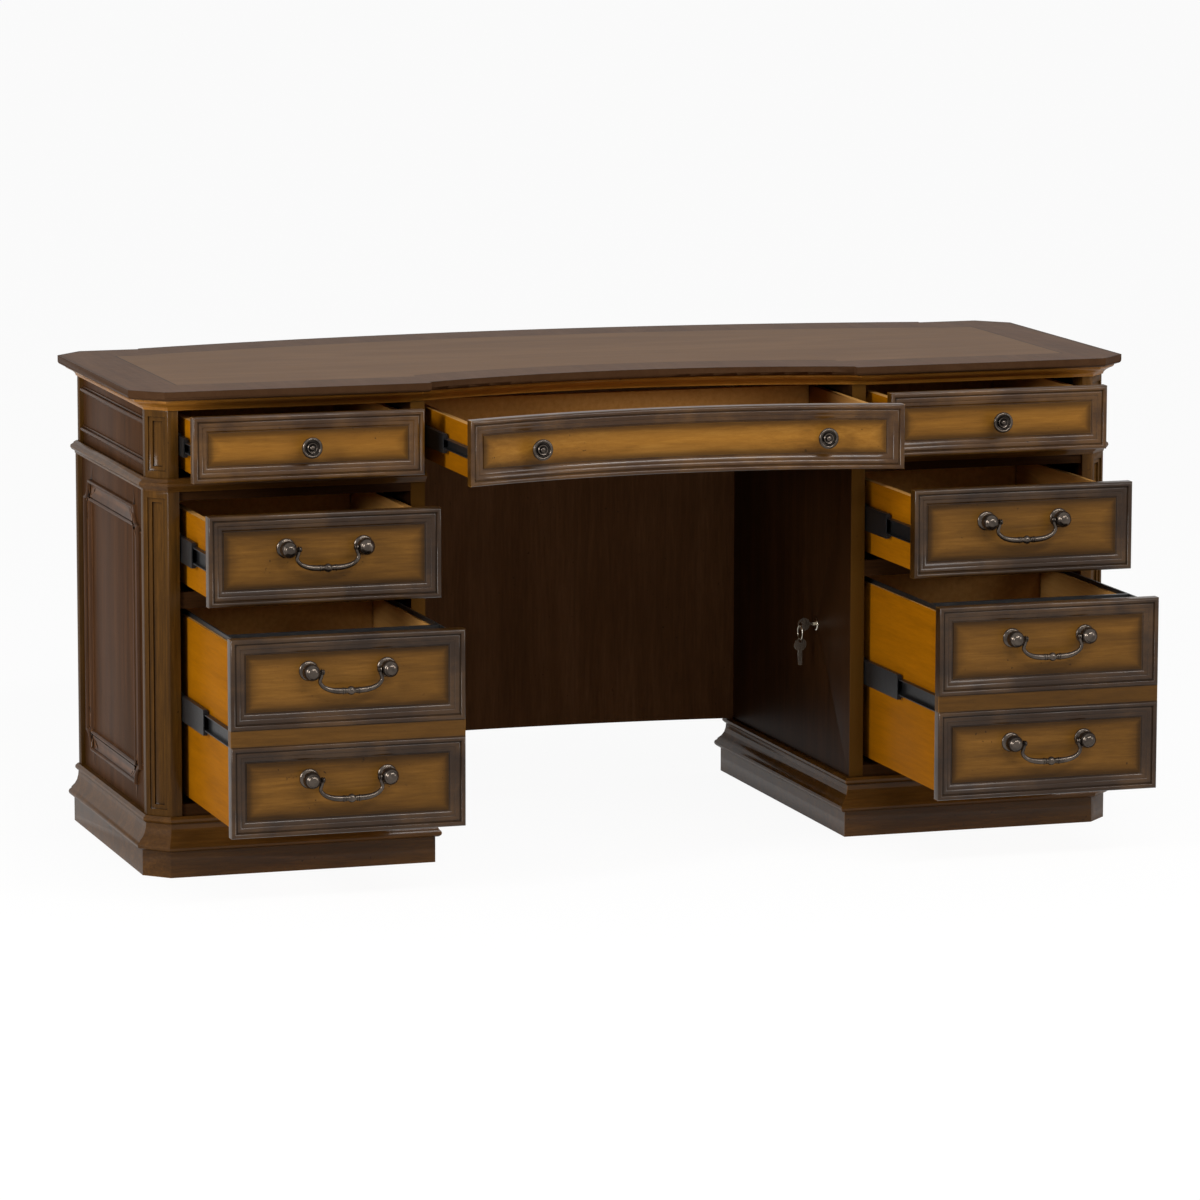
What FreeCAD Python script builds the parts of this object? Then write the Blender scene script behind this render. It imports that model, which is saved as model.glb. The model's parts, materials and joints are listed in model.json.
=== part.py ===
import FreeCAD, Part
import math
import os
import Sketcher

# Executive desk, millimetres. X runs along the desk, Y away from the sitter, Z up.
# The desk is drawn shut and square about its own middle; every node is then moved by one
# datum in Y, and each drawer by as far as it stands open in the photograph.

V = FreeCAD.Vector
doc = FreeCAD.newDocument("executive_desk")
sheet = doc.addObject("Spreadsheet::Sheet", "Sizes")

SIZES = [
    # Top
    ("top_width", 1702, "top, left to right"),
    ("top_depth", 600, "top, front to back at the ends"),
    ("desk_height", 787, "floor to the work surface"),
    ("slab_thick", 15, "top panel"),
    ("slab_round", 6, "rounding under the top panel's edge"),
    ("cornice_height", 18, "moulded board under the top panel"),
    ("overhang", 30, "top edge beyond the case"),
    ("top_clip", 48, "clipped corner of the top"),
    ("hollow_half", 363, "half width of the hollow in the front"),
    ("hollow_step", 12, "break where the hollow starts"),
    ("hollow_depth", 74, "hollow at its middle, behind the straight front"),
    ("bow_flat", 103, "straight back from the clipped corner to the bow"),
    ("bow_step", 8, "break where the bow starts"),
    ("bow_rise", 92, "bow at its middle, beyond the straight back"),
    # Case
    ("post_width", 47, "corner post across the front"),
    ("post_depth", 46, "corner post along the side"),
    ("post_panel_inset", 11, "post panel from the post's ends"),
    ("post_panel_width", 32, "recessed panel in the post's canted face"),
    ("post_panel_deep", 2.5, "depth of that recess"),
    ("post_core_inset", 7, "deeper middle of that panel from its edge"),
    ("post_core_deep", 6, "depth of the middle"),
    ("stile_thick", 24, "inner side of a pedestal"),
    ("knee_half", 366, "half width of the kneehole"),
    ("board_thick", 18, "case boards"),
    ("panel_sink", 7, "side panels behind the post faces"),
    ("lower_step", 4, "lower case beyond the upper case"),
    ("upper_case_height", 109, "upper case from the waist moulding to the cornice"),
    ("waist_height", 21, "waist moulding"),
    ("waist_reach", 12, "waist moulding beyond the case"),
    ("upper_rail_drop", 15, "rail over the middle drawer, below the waist moulding"),
    ("middle_opening", 148, "opening for the middle drawer"),
    ("middle_rail_height", 26, "rail over the file drawer"),
    ("base_height", 98, "plinth with its moulding"),
    ("base_board", 19, "bottom board of a pedestal"),
    ("base_wall", 40, "plinth walls"),
    ("base_web", 18, "plinth's top"),
    ("plinth_face_height", 42, "flat face at the foot"),
    ("plinth_reach", 12, "flat face beyond the case"),
    ("base_bead_reach", 21, "widest bead beyond the case"),
    ("base_cove_reach", 5, "top of the cove beyond the case"),
    ("base_top_bead", 10, "upper bead beyond the case"),
    # Applied mouldings on the sides
    ("frame_inset", 34, "lower side moulding from the panel's edge"),
    ("upper_frame_inset", 16, "upper side moulding from the panel's edge"),
    ("frame_width", 13, "side moulding"),
    ("frame_raise", 7, "side moulding off the panel"),
    ("frame_scoop", 30, "scooped corner of the lower side moulding"),
    # Drawer fronts
    ("front_gap", 2, "gap round a drawer front"),
    ("upper_gap", 2, "gap over the top drawers"),
    ("front_thick", 20, "drawer front"),
    ("front_proud", 3, "front's bead before the case"),
    ("bead_width", 7, "outer bead of a front"),
    ("bead_drop", 3, "step behind the outer bead"),
    ("bead_round", 2, "rounding of the outer bead"),
    ("field_inset", 15, "sunk field from the edge"),
    ("field_drop", 8, "sunk field behind the bead"),
    ("field_slope", 40, "slope of the moulding round the field, degrees"),
    ("file_band", 27, "plain band between the two fields of a file front"),
    # Drawer boxes
    ("slide_gap", 13, "space for a slide at each side"),
    ("box_wall", 12, "drawer sides"),
    ("box_bottom", 6, "drawer bottoms"),
    ("box_bottom_lift", 8, "bottom above the sides' lower edge"),
    ("box_depth", 450, "drawer box, front to back"),
    ("centre_box_depth", 400, "centre drawer box"),
    ("box_lift", 8, "box above the front's lower edge"),
    ("top_box_drop", 13, "top drawer box under the front's upper edge"),
    ("mid_box_drop", 16, "middle drawer box under the front's upper edge"),
    ("file_box_drop", 13, "file drawer box under the front's upper edge"),
    # Slides
    ("slide_metal", 1.6, "sheet of the slides"),
    ("slide_play", 0.3, "clearance between slide members"),
    ("slide_cage", 2.7, "ball cage on a flange of the middle member"),
    ("slide_reach", 9, "flange of the case member"),
    ("slide_mid_reach", 10.6, "flange of the middle member"),
    ("slide_back_play", 0.5, "inner member's flange from the middle member's web"),
    ("slide_tall", 45, "slide of middle and file drawers"),
    ("slide_low", 35, "slide of top and centre drawers"),
    ("slide_set_back", 1, "slide behind the back of a drawer front"),
    ("slide_length", 430, "side drawer slides"),
    ("centre_slide_length", 350, "centre drawer slides"),
    ("file_rail_height", 7, "hanging rail above a file drawer's sides"),
    ("file_rail_thick", 3, "hanging rail"),
    ("file_bar_place", 65, "cross bar behind the file front"),
    ("file_bar_thick", 8, "cross bar"),
    # Pulls
    ("pull_half", 63, "half the distance between a bail's posts"),
    ("rose_radius", 11, "rose of a pull post"),
    ("rose_thick", 3, "rose"),
    ("neck_radius", 5.5, "neck of a pull post"),
    ("ball_radius", 13.5, "ball of a pull post"),
    ("ball_reach", 19.5, "ball's middle before the field"),
    ("pin_radius", 2.6, "bail's pin in the ball"),
    ("pin_play", 0.3, "clearance of the pin"),
    ("bail_wire", 3.6, "bail's rod, radius"),
    ("bail_stand", 1, "bail's collar from the ball"),
    ("bail_collar", 2.5, "collar beside the ball"),
    ("bail_inset", 16, "bail's bend from the ball's middle"),
    ("bail_turn", 5, "radius of the bail's upper bend"),
    ("bail_sweep", 26, "radius of the bail's lower bend"),
    ("bail_bead", 7, "bead at the bail's middle, radius"),
    ("bail_ring", 5.2, "rings beside the bead, radius"),
    ("bail_bead_half", 12, "half length of the beaded middle"),
    ("pin_past", 4, "pin beyond the ball's middle"),
    ("knob_radius", 17, "knob"),
    ("knob_reach", 27, "knob's face before the field"),
    ("centre_knob_place", 240, "centre drawer's knobs from the middle"),
    # Lock
    ("lock_height", 331, "lock above the floor"),
    ("lock_place", 167, "lock behind the case front"),
    ("lock_flange", 11, "lock's flange, radius"),
    ("lock_flange_thick", 2, "lock's flange"),
    ("lock_barrel", 8.5, "lock's barrel, radius"),
    ("lock_bore", 5.6, "bore for the plug, radius"),
    ("lock_play", 0.3, "clearance of the plug"),
    ("lock_depth", 20, "barrel in the stile"),
    ("key_shank", 9, "key between plug and bow"),
    ("key_shank_half", 2.5, "half the shank's height"),
    ("key_thick", 2, "key's sheet"),
    ("key_bow", 11, "key's bow, radius"),
    ("key_hole", 3, "hole in the bow, radius"),
    ("key_hole_edge", 4.5, "hole's middle from the bow's edge"),
    ("ring_radius", 12, "key ring, to the wire's middle"),
    ("ring_wire", 0.9, "key ring's wire, radius"),
    ("spare_blade", 24, "spare key's blade"),
    ("spare_blade_half", 3.5, "half the blade's width"),
    # How far each drawer stands open, and how far it can go
    ("open_left_top", 89, "left top drawer in the photograph"),
    ("open_left_mid", 182, "left middle drawer"),
    ("open_left_file", 315, "left file drawer"),
    ("open_right_top", 112, "right top drawer"),
    ("open_right_mid", 224, "right middle drawer"),
    ("open_right_file", 342, "right file drawer"),
    ("open_centre", 264, "centre drawer"),
]

for index, (alias, value, note) in enumerate(SIZES, 1):
    sheet.set("A%d" % index, note)
    sheet.set("B%d" % index, str(value))
    sheet.setAlias("B%d" % index, alias)
doc.recompute()


class Size:
    """A length as the sheet's formula, with its value now."""

    def __init__(self, text, value):
        self.text = text
        self.value = float(value)

    def _join(self, other, sign, value, flip=False):
        text = other.text if isinstance(other, Size) else repr(other)
        first, second = (text, self.text) if flip else (self.text, text)
        return Size("(%s %s %s)" % (first, sign, second), value)

    def __add__(self, other):
        return self._join(other, "+", self.value + worth(other))

    def __radd__(self, other):
        return self._join(other, "+", worth(other) + self.value, True)

    def __sub__(self, other):
        return self._join(other, "-", self.value - worth(other))

    def __rsub__(self, other):
        return self._join(other, "-", worth(other) - self.value, True)

    def __mul__(self, other):
        return self._join(other, "*", self.value * worth(other))

    def __rmul__(self, other):
        return self._join(other, "*", worth(other) * self.value, True)

    def __truediv__(self, other):
        return self._join(other, "/", self.value / worth(other))

    def __neg__(self):
        return Size("(0 - %s)" % self.text, -self.value)


def worth(item):
    return item.value if isinstance(item, Size) else float(item)


def root(item):
    return Size("sqrt(%s)" % item.text, math.sqrt(item.value))


class Named:
    """Each alias of the sheet as an attribute."""


g = Named()
for alias, value, note in SIZES:
    setattr(g, alias, Size("Sizes.%s" % alias, sheet.get(alias)))


def bind(item, path, size):
    if isinstance(size, Size):
        item.setExpression(path, size.text)


def place(item, x=0, y=0, z=0, turn=None):
    item.Placement = FreeCAD.Placement(V(worth(x), worth(y), worth(z)), turn or FreeCAD.Rotation())
    for axis, size in (("x", x), ("y", y), ("z", z)):
        bind(item, "Placement.Base.%s" % axis, size)


def box(name, x0, x1, y0, y1, z0, z1):
    item = doc.addObject("Part::Box", name)
    for path, low, high in (("Length", x0, x1), ("Width", y0, y1), ("Height", z0, z1)):
        span = high - low
        setattr(item, path, worth(span))
        bind(item, path, span)
    place(item, x0, y0, z0)
    return item


def cut(name, base, tool):
    item = doc.addObject("Part::Cut", name)
    item.Base = base
    item.Tool = tool
    return item


def fuse(name, items):
    item = doc.addObject("Part::MultiFuse", name)
    item.Shapes = items
    return item


def mirrored(item):
    twin = doc.addObject("Part::Mirroring", item.Name + "_left")
    twin.Source = item
    twin.Base = V(0, 0, 0)
    twin.Normal = V(1, 0, 0)
    return twin


def pair(item):
    return [item, mirrored(item)]


def new_body(name):
    return doc.addObject("PartDesign::Body", name)


def plane_of(body, role):
    for item in body.Origin.OriginFeatures:
        if item.Role == role:
            return item
    raise ValueError(role)


def edge_of(start, end):
    """A straight edge, or an arc when end carries a centre: (x, y, (cx, cy), turn)."""
    a = V(worth(start[0]), worth(start[1]), 0)
    b = V(worth(end[0]), worth(end[1]), 0)
    if len(end) == 2:
        return Part.LineSegment(a, b), 1
    c = V(worth(end[2][0]), worth(end[2][1]), 0)
    angle_a = math.atan2(a.y - c.y, a.x - c.x)
    angle_b = math.atan2(b.y - c.y, b.x - c.x)
    circle = Part.Circle(c, V(0, 0, 1), (a - c).Length)
    if end[3] > 0:
        return Part.ArcOfCircle(circle, angle_a, angle_b), 1
    return Part.ArcOfCircle(circle, angle_b, angle_a), -1


def sketch(body, name, role, points, lift=None, closed=True):
    """A wire through points; each point's place is held by the sheet's formulas."""
    item = body.newObject("Sketcher::SketchObject", name)
    item.AttachmentSupport = (plane_of(body, role), [""])
    item.MapMode = "FlatFace"
    if lift is not None:
        item.AttachmentOffset = FreeCAD.Placement(V(0, 0, worth(lift)), FreeCAD.Rotation())
        bind(item, "AttachmentOffset.Base.z", lift)
    draw(item, points, closed)
    return item


def draw(item, points, closed=True):
    count = len(points)
    runs = count if closed else count - 1
    first = item.GeometryCount
    ways = []
    for k in range(runs):
        shape, way = edge_of(points[k], points[(k + 1) % count])
        item.addGeometry(shape, False)
        ways.append(way)
    held = []
    for k in range(runs):
        follow = (k + 1) % runs if closed else k + 1
        if follow < runs:
            held.append(Sketcher.Constraint("Coincident", first + k, 2 if ways[k] > 0 else 1,
                                            first + follow, 1 if ways[follow] > 0 else 2))
    item.addConstraint(held)
    for k in range(count):
        run, end = (k, 1) if k < runs else (k - 1, 2)
        spot = end if ways[run] > 0 else 3 - end
        for kind, size in (("DistanceX", points[k][0]), ("DistanceY", points[k][1])):
            number = item.addConstraint(Sketcher.Constraint(kind, -1, 1, first + run, spot, worth(size)))
            bind(item, "Constraints[%d]" % number, size)
    for k in range(runs):
        end = points[(k + 1) % count]
        if len(end) > 2:
            number = item.addConstraint(Sketcher.Constraint("Radius", first + k, worth(end[4])))
            bind(item, "Constraints[%d]" % number, end[4])


def ring(item, x, y, radius):
    """A full circle in a sketch, placed and sized by the sheet."""
    number = item.addGeometry(Part.Circle(V(worth(x), worth(y), 0), V(0, 0, 1), worth(radius)), False)
    for kind, size in (("DistanceX", x), ("DistanceY", y)):
        held = item.addConstraint(Sketcher.Constraint(kind, -1, 1, number, 3, worth(size)))
        bind(item, "Constraints[%d]" % held, size)
    held = item.addConstraint(Sketcher.Constraint("Radius", number, worth(radius)))
    bind(item, "Constraints[%d]" % held, radius)


def rectangle(x0, x1, y0, y1):
    return [(x0, y0), (x1, y0), (x1, y1), (x0, y1)]


def pad(body, name, profile, length, kind="PartDesign::Pad"):
    item = body.newObject(kind, name)
    item.Profile = profile
    item.Length = worth(length)
    bind(item, "Length", length)
    return item


def board(name, points, z0, z1):
    """A board of any plan, from one height to another."""
    body = new_body(name)
    outline = sketch(body, name + "_plan", "XY_Plane", points, lift=z0)
    pad(body, name + "_pad", outline, z1 - z0)
    return body


def bar(name, points, y0, y1):
    """A section in X and Z drawn out along Y."""
    body = new_body(name)
    outline = sketch(body, name + "_section", "XZ_Plane", points, lift=-y1)
    pad(body, name + "_pad", outline, y1 - y0)
    return body


def turned(name, points):
    """A turned piece about Y; points are radius and place along Y."""
    body = new_body(name)
    outline = sketch(body, name + "_half", "XY_Plane", points)
    item = body.newObject("PartDesign::Revolution", name + "_turn")
    item.Profile = outline
    item.ReferenceAxis = (outline, ["V_Axis"])
    item.Angle = 360
    return body


def stack(name, outline, levels):
    """A moulding: plans at rising heights, joined by a ruled loft."""
    body = new_body(name)
    plans = []
    for k, (reach, level) in enumerate(levels):
        plans.append(sketch(body, "%s_plan%d" % (name, k), "XY_Plane", outline(reach), lift=level))
    loft = body.newObject("PartDesign::AdditiveLoft", name + "_loft")
    loft.Profile = plans[0]
    loft.Sections = plans[1:]
    loft.Ruled = True
    return body


NODES = []


def node(label, items, opened=None):
    """One file: its solids, moved by the datum and by how far the drawer stands open."""
    item = doc.addObject("Part::Compound", "node_" + label)
    item.Links = items
    item.Label = label
    shift = datum if opened is None else datum - opened
    place(item, 0, shift, 0)
    NODES.append(item)
    return item


# Datums
# The origin lies under the middle of the desk as it stands, drawers out.
half_wide = g.top_width / 2
half_deep = g.top_depth / 2
front = -(half_deep - g.overhang)
back = half_deep - g.overhang
side = half_wide - g.overhang
slab_base = g.desk_height - g.slab_thick
case_top = slab_base - g.cornice_height
waist_top = case_top - g.upper_case_height
waist_base = waist_top - g.waist_height
upper_rail_base = waist_base - g.upper_rail_drop
middle_rail_base = upper_rail_base - g.middle_opening - g.middle_rail_height
hole_in = g.knee_half + g.stile_thick
hole_out = side - g.post_width
bead_face = front - g.front_proud
front_back = bead_face + g.front_thick
field_face = bead_face + g.field_drop
pull_most = g.ball_reach + g.ball_radius
datum = (g.open_right_file - field_face + pull_most - half_deep - g.bow_rise) / 2
clip_share = 2 - math.sqrt(2)

# Hollow and bow of the top, as circles
hollow_sag = g.hollow_depth - g.hollow_step
hollow_arc = (g.hollow_half * g.hollow_half + hollow_sag * hollow_sag) / (2 * hollow_sag)
hollow_mid = g.hollow_depth - half_deep - hollow_arc
bow_half = half_wide - g.top_clip - g.bow_flat
bow_sag = g.bow_rise - g.bow_step
bow_arc = (bow_half * bow_half + bow_sag * bow_sag) / (2 * bow_sag)
bow_mid = half_deep + g.bow_rise - bow_arc


def hollow_y(inset, x):
    radius = hollow_arc + inset
    return hollow_mid + root(radius * radius - x * x)


def bow_y(inset, x):
    radius = bow_arc - inset
    return bow_mid + root(radius * radius - x * x)


def clip_at(inset):
    return g.top_clip - inset * clip_share


def top_plan(inset):
    """Plan of the top drawn in by inset: clipped corners, hollow front, bowed back."""
    w, d, clip = half_wide - inset, half_deep - inset, clip_at(inset)
    hx, bx = g.hollow_half + inset, bow_half - inset
    hy, by = hollow_y(inset, hx), bow_y(inset, bx)
    return [
        (clip - w, -d), (-hx, -d), (-hx, hy),
        (hx, hy, (0, hollow_mid), -1, hollow_arc + inset),
        (hx, -d), (w - clip, -d), (w, clip - d), (w, d - clip), (w - clip, d),
        (bx, d), (bx, by),
        (-bx, by, (0, bow_mid), 1, bow_arc - inset),
        (-bx, d), (clip - w, d), (-w, d - clip), (-w, clip - d),
    ]


def pedestal_plan(reach):
    """Plan of the right pedestal, grown by reach beyond the upper case."""
    inset = g.overhang - reach
    w, d, clip = half_wide - inset, half_deep - inset, clip_at(inset)
    inner, bx = g.knee_half - reach, bow_half - inset
    return [
        (inner, -d), (w - clip, -d), (w, clip - d), (w, d - clip), (w - clip, d),
        (bx, d), (bx, bow_y(inset, bx)),
        (inner, bow_y(inset, inner), (0, bow_mid), 1, bow_arc - inset),
    ]


# Top panel, rounded under its edge, and the moulded board that carries it
body = new_body("slab")
plan = sketch(body, "slab_plan", "XY_Plane", top_plan(0 * g.overhang), lift=slab_base)
slab_pad = pad(body, "slab_pad", plan, g.slab_thick)
doc.recompute()
low_edges = ["Edge%d" % (k + 1) for k, edge in enumerate(slab_pad.Shape.Edges)
             if abs(edge.BoundBox.ZMax - slab_base.value) < g.slide_play.value]
rounding = body.newObject("PartDesign::Fillet", "slab_rounding")
rounding.Base = (slab_pad, low_edges)
rounding.Radius = g.slab_round.value
bind(rounding, "Radius", g.slab_round)
doc.recompute()
node("top_panel", [body])

cornice_shares = [(0.0, 0.933), (0.18, 0.90), (0.36, 0.80), (0.55, 0.62), (0.68, 0.45), (0.80, 0.38), (1.0, 0.36)]
cornice_levels = [(g.overhang * across, case_top + g.cornice_height * up) for up, across in cornice_shares]
node("top_moulding", [stack("cornice", top_plan, cornice_levels)])


# Corner posts: canted outer corner with a sunk panel in the cant
def post_plan(grow, sign):
    inset = g.overhang - grow
    w, d, clip = half_wide - inset, half_deep - inset, clip_at(inset)
    behind = sign * (back - g.post_depth)
    plan = [(hole_out, sign * d), (w - clip, sign * d), (w, sign * (d - clip)), (w, behind), (hole_out, behind)]
    return plan if sign < 0 else plan[::-1]


def cant_box(name, grow, sign, z0, z1, wide, deep):
    """A bar let into the middle of the cant, square to it."""
    inset = g.overhang - grow
    clip = clip_at(inset)
    item = doc.addObject("Part::Box", name)
    for path, size in (("Length", wide), ("Width", 2 * deep), ("Height", z1 - z0)):
        setattr(item, path, worth(size))
        bind(item, path, size)
    across = half_wide - inset - clip / 2
    along = half_deep - inset - clip / 2
    slant = math.sqrt(0.5)
    if sign < 0:
        turn = FreeCAD.Rotation(V(0, 0, 1), 45)
        place(item, across - (wide / 2 - deep) * slant, -along - (wide / 2 + deep) * slant, z0, turn)
    else:
        turn = FreeCAD.Rotation(V(0, 0, 1), -45)
        place(item, across - (wide / 2 + deep) * slant, along + (wide / 2 - deep) * slant, z0, turn)
    return item


nothing = 0 * g.overhang
posts = []
for tier, grow, z0, z1, low in (("upper", nothing, waist_base, case_top, waist_top),
                                ("lower", g.lower_step, g.base_height, waist_base, g.base_height)):
    for end, sign in (("front", -1), ("back", 1)):
        name = "post_%s_%s" % (tier, end)
        blank = board(name, post_plan(grow, sign), z0, z1)
        lift, fall = low + g.post_panel_inset, z1 - g.post_panel_inset
        recess = cant_box(name + "_recess", grow, sign, lift, fall, g.post_panel_width, g.post_panel_deep)
        core = cant_box(name + "_core", grow, sign, lift + g.post_core_inset, fall - g.post_core_inset,
                        g.post_panel_width - 2 * g.post_core_inset, g.post_core_deep)
        posts += pair(cut(name + "_cut", cut(name + "_panel", blank, recess), core))
node("corner_posts", posts)


# Bowed backs, with straight ends against the posts
def half_back(inner):
    inset = g.overhang
    inside = inset + g.board_thick
    bx, d = bow_half - inset, half_deep - inset
    bend = bx - g.board_thick
    return [
        (hole_out, d - g.board_thick), (hole_out, d), (bx, d), (bx, bow_y(inset, bx)),
        (inner, bow_y(inset, inner), (0, bow_mid), 1, bow_arc - inset),
        (inner, bow_y(inside, inner)),
        (bend, bow_y(inside, bend), (0, bow_mid), -1, bow_arc - inside),
        (bend, d - g.board_thick),
    ]


def whole_back():
    inset = g.overhang
    inside = inset + g.board_thick
    bx, d = bow_half - inset, half_deep - inset
    bend = bx - g.board_thick
    return [
        (hole_out, d - g.board_thick), (hole_out, d), (bx, d), (bx, bow_y(inset, bx)),
        (-bx, bow_y(inset, bx), (0, bow_mid), 1, bow_arc - inset),
        (-bx, d), (-hole_out, d), (-hole_out, d - g.board_thick), (-bend, d - g.board_thick),
        (-bend, bow_y(inside, bend)),
        (bend, bow_y(inside, bend), (0, bow_mid), -1, bow_arc - inside),
        (bend, d - g.board_thick),
    ]


# Upper case: side panels between the posts, and the bowed back
panel_face = side - g.panel_sink
post_in = back - g.post_depth
upper_side = box("upper_side", panel_face - g.board_thick, panel_face, -post_in, post_in, waist_base, case_top)
upper_back = board("upper_back", whole_back(), waist_top, case_top)
node("upper_case_panels", pair(upper_side) + [upper_back])

# Inner sides of the pedestals and the dividers above them
inner_board = g.overhang + g.board_thick


def stile_plan():
    return [(g.knee_half, front), (hole_in, front), (hole_in, bow_y(inner_board, hole_in)),
            (g.knee_half, bow_y(inner_board, g.knee_half))]


node("drawer_dividers", pair(board("divider", stile_plan(), waist_top, case_top)))
lock_y = front + g.lock_place
stile = board("stile", stile_plan(), g.base_height, waist_top)
lock_hole = doc.addObject("Part::Cylinder", "lock_hole")
for path, size in (("Radius", g.lock_barrel), ("Height", 2 * g.stile_thick)):
    setattr(lock_hole, path, worth(size))
    bind(lock_hole, path, size)
place(lock_hole, g.knee_half - g.stile_thick / 2, lock_y, g.lock_height, FreeCAD.Rotation(V(0, 1, 0), 90))
node("pedestal_inner_sides", [cut("stile_locked", stile, lock_hole), mirrored(stile)])

# Rails, decks and bottoms between a pedestal's sides
rail_back = front + g.board_thick
deck_back = back - g.board_thick
rail_upper = box("rail_upper", hole_in, hole_out, front, rail_back, upper_rail_base, waist_top)
rail_middle = box("rail_middle", hole_in, hole_out, front, rail_back, middle_rail_base,
                  middle_rail_base + g.middle_rail_height)
node("drawer_rails", pair(rail_upper) + pair(rail_middle))
deck = box("deck", hole_in, hole_out, rail_back, deck_back, waist_top - g.board_thick, waist_top)
node("drawer_decks", pair(deck))
floor_board = box("floor_board", hole_in, hole_out, front, deck_back, g.base_height,
                  g.base_height + g.base_board)
node("pedestal_floors", pair(floor_board))

# Lower case: side panels, bowed backs, modesty panel
lower_face = panel_face + g.lower_step
lower_side = box("lower_side", lower_face - g.board_thick, lower_face, -post_in, post_in,
                 g.base_height, waist_base)
node("pedestal_side_panels", pair(lower_side))
node("pedestal_back_panels", pair(board("lower_back", half_back(g.knee_half), g.base_height, waist_top)))
knee = g.knee_half
modesty_plan = [
    (knee, bow_y(inner_board, knee), (0, bow_mid), -1, bow_arc - inner_board),
    (knee, bow_y(g.overhang, knee)),
    (-knee, bow_y(g.overhang, knee), (0, bow_mid), 1, bow_arc - g.overhang),
    (-knee, bow_y(inner_board, knee)),
]
node("modesty_panel", [board("modesty", modesty_plan, g.base_height, waist_top)])


# Waist moulding and plinths follow the pedestal's plan, grown by the moulding's reach
def pedestal_plan(reach, inner):
    inset = g.overhang - reach
    w, d, clip = half_wide - inset, half_deep - inset, clip_at(inset)
    bx = bow_half - inset
    return [
        (inner, -d), (w - clip, -d), (w, clip - d), (w, d - clip), (w - clip, d), (bx, d),
        (bx, bow_y(inset, bx)), (inner, bow_y(inset, inner), (0, bow_mid), 1, bow_arc - inset),
    ]


waist_shares = [(0.0, 0.40), (0.18, 0.45), (0.30, 0.82), (0.48, 1.0), (0.66, 0.95), (0.78, 0.62), (0.9, 0.5), (1.0, 0.22)]
waist_levels = [(g.waist_reach * out, waist_base + g.waist_height * up) for up, out in waist_shares]
belt = stack("waist", lambda reach: pedestal_plan(reach, g.knee_half), waist_levels)
core = board("waist_core", pedestal_plan(nothing, g.knee_half), waist_base, waist_top)
node("waist_mouldings", pair(cut("waist_belt", belt, core)))

bead_out, cove_out, tip_out = g.base_bead_reach, g.base_cove_reach, g.base_top_bead
rise = g.base_height - g.plinth_face_height
base_levels = [(g.plinth_reach, nothing), (g.plinth_reach, g.plinth_face_height)]
bead_shares = [(0.02, 0.80), (0.07, 0.95), (0.13, 1.0), (0.19, 0.95), (0.24, 0.80)]
cove_shares = [(0.28, 0.70), (0.38, 0.38), (0.50, 0.16), (0.64, 0.04), (0.78, 0.0)]
tip_shares = [(0.80, 0.7), (0.86, 1.0), (0.93, 1.0), (1.0, 0.6)]
base_levels += [(bead_out * out, g.plinth_face_height + rise * up) for up, out in bead_shares]
base_levels += [(cove_out + (bead_out - cove_out) * out, g.plinth_face_height + rise * up)
                for up, out in cove_shares]
base_levels += [(tip_out * out, g.plinth_face_height + rise * up) for up, out in tip_shares]
plinth = stack("plinth", lambda reach: pedestal_plan(reach, g.knee_half - reach), base_levels)
half_wall = g.base_wall / 2
hollow = box("plinth_hollow", g.knee_half + half_wall, side - half_wall, front + half_wall, back - half_wall,
             -g.base_web, g.base_height - g.base_web)
node("plinths", pair(cut("plinth_frame", plinth, hollow)))


# Applied mouldings on the side panels: plain above, scooped corners below
def side_frame(name, face, y0, y1, z0, z1, scoop=None):
    body = new_body(name)
    f = g.frame_width
    if scoop is None:
        outer = rectangle(y0, y1, z0, z1)
        inner = rectangle(y0 + f, y1 - f, z0 + f, z1 - f)
    else:
        outer = scooped(y0, y1, z0, z1, nothing, scoop, scoop)
        reach = scoop + f
        inner = scooped(y0, y1, z0, z1, f, root(reach * reach - f * f), reach)
    outline = sketch(body, name + "_outline", "YZ_Plane", outer, lift=face)
    draw(outline, inner)
    pad(body, name + "_pad", outline, g.frame_raise)
    return body


def scooped(y0, y1, z0, z1, f, e, radius):
    return [
        (y0 + e, z0 + f, (y0, z0), -1, radius), (y1 - e, z0 + f),
        (y1 - f, z0 + e, (y1, z0), -1, radius), (y1 - f, z1 - e),
        (y1 - e, z1 - f, (y1, z1), -1, radius), (y0 + e, z1 - f),
        (y0 + f, z1 - e, (y0, z1), -1, radius), (y0 + f, z0 + e),
    ]


reach_y = post_in - g.frame_inset
upper_frame = side_frame("upper_frame", panel_face, g.upper_frame_inset - post_in, post_in - g.upper_frame_inset,
                         waist_top + g.upper_frame_inset, case_top - g.upper_frame_inset)
lower_frame = side_frame("lower_frame", lower_face, -reach_y, reach_y, g.base_height + g.frame_inset,
                         waist_base - g.frame_inset, g.frame_scoop)
node("side_panel_mouldings", pair(upper_frame) + pair(lower_frame))


# Drawer slides: three nested channels at each side of a drawer
def channel(web, way, z, half, metal, tip):
    """C section: web at x = web, flanges running to x = tip."""
    inside = web + way * metal
    return [
        (web, z - half), (web, z + half), (tip, z + half), (tip, z + half - metal),
        (inside, z + half - metal), (inside, z - half + metal), (tip, z - half + metal), (tip, z - half),
    ]


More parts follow.
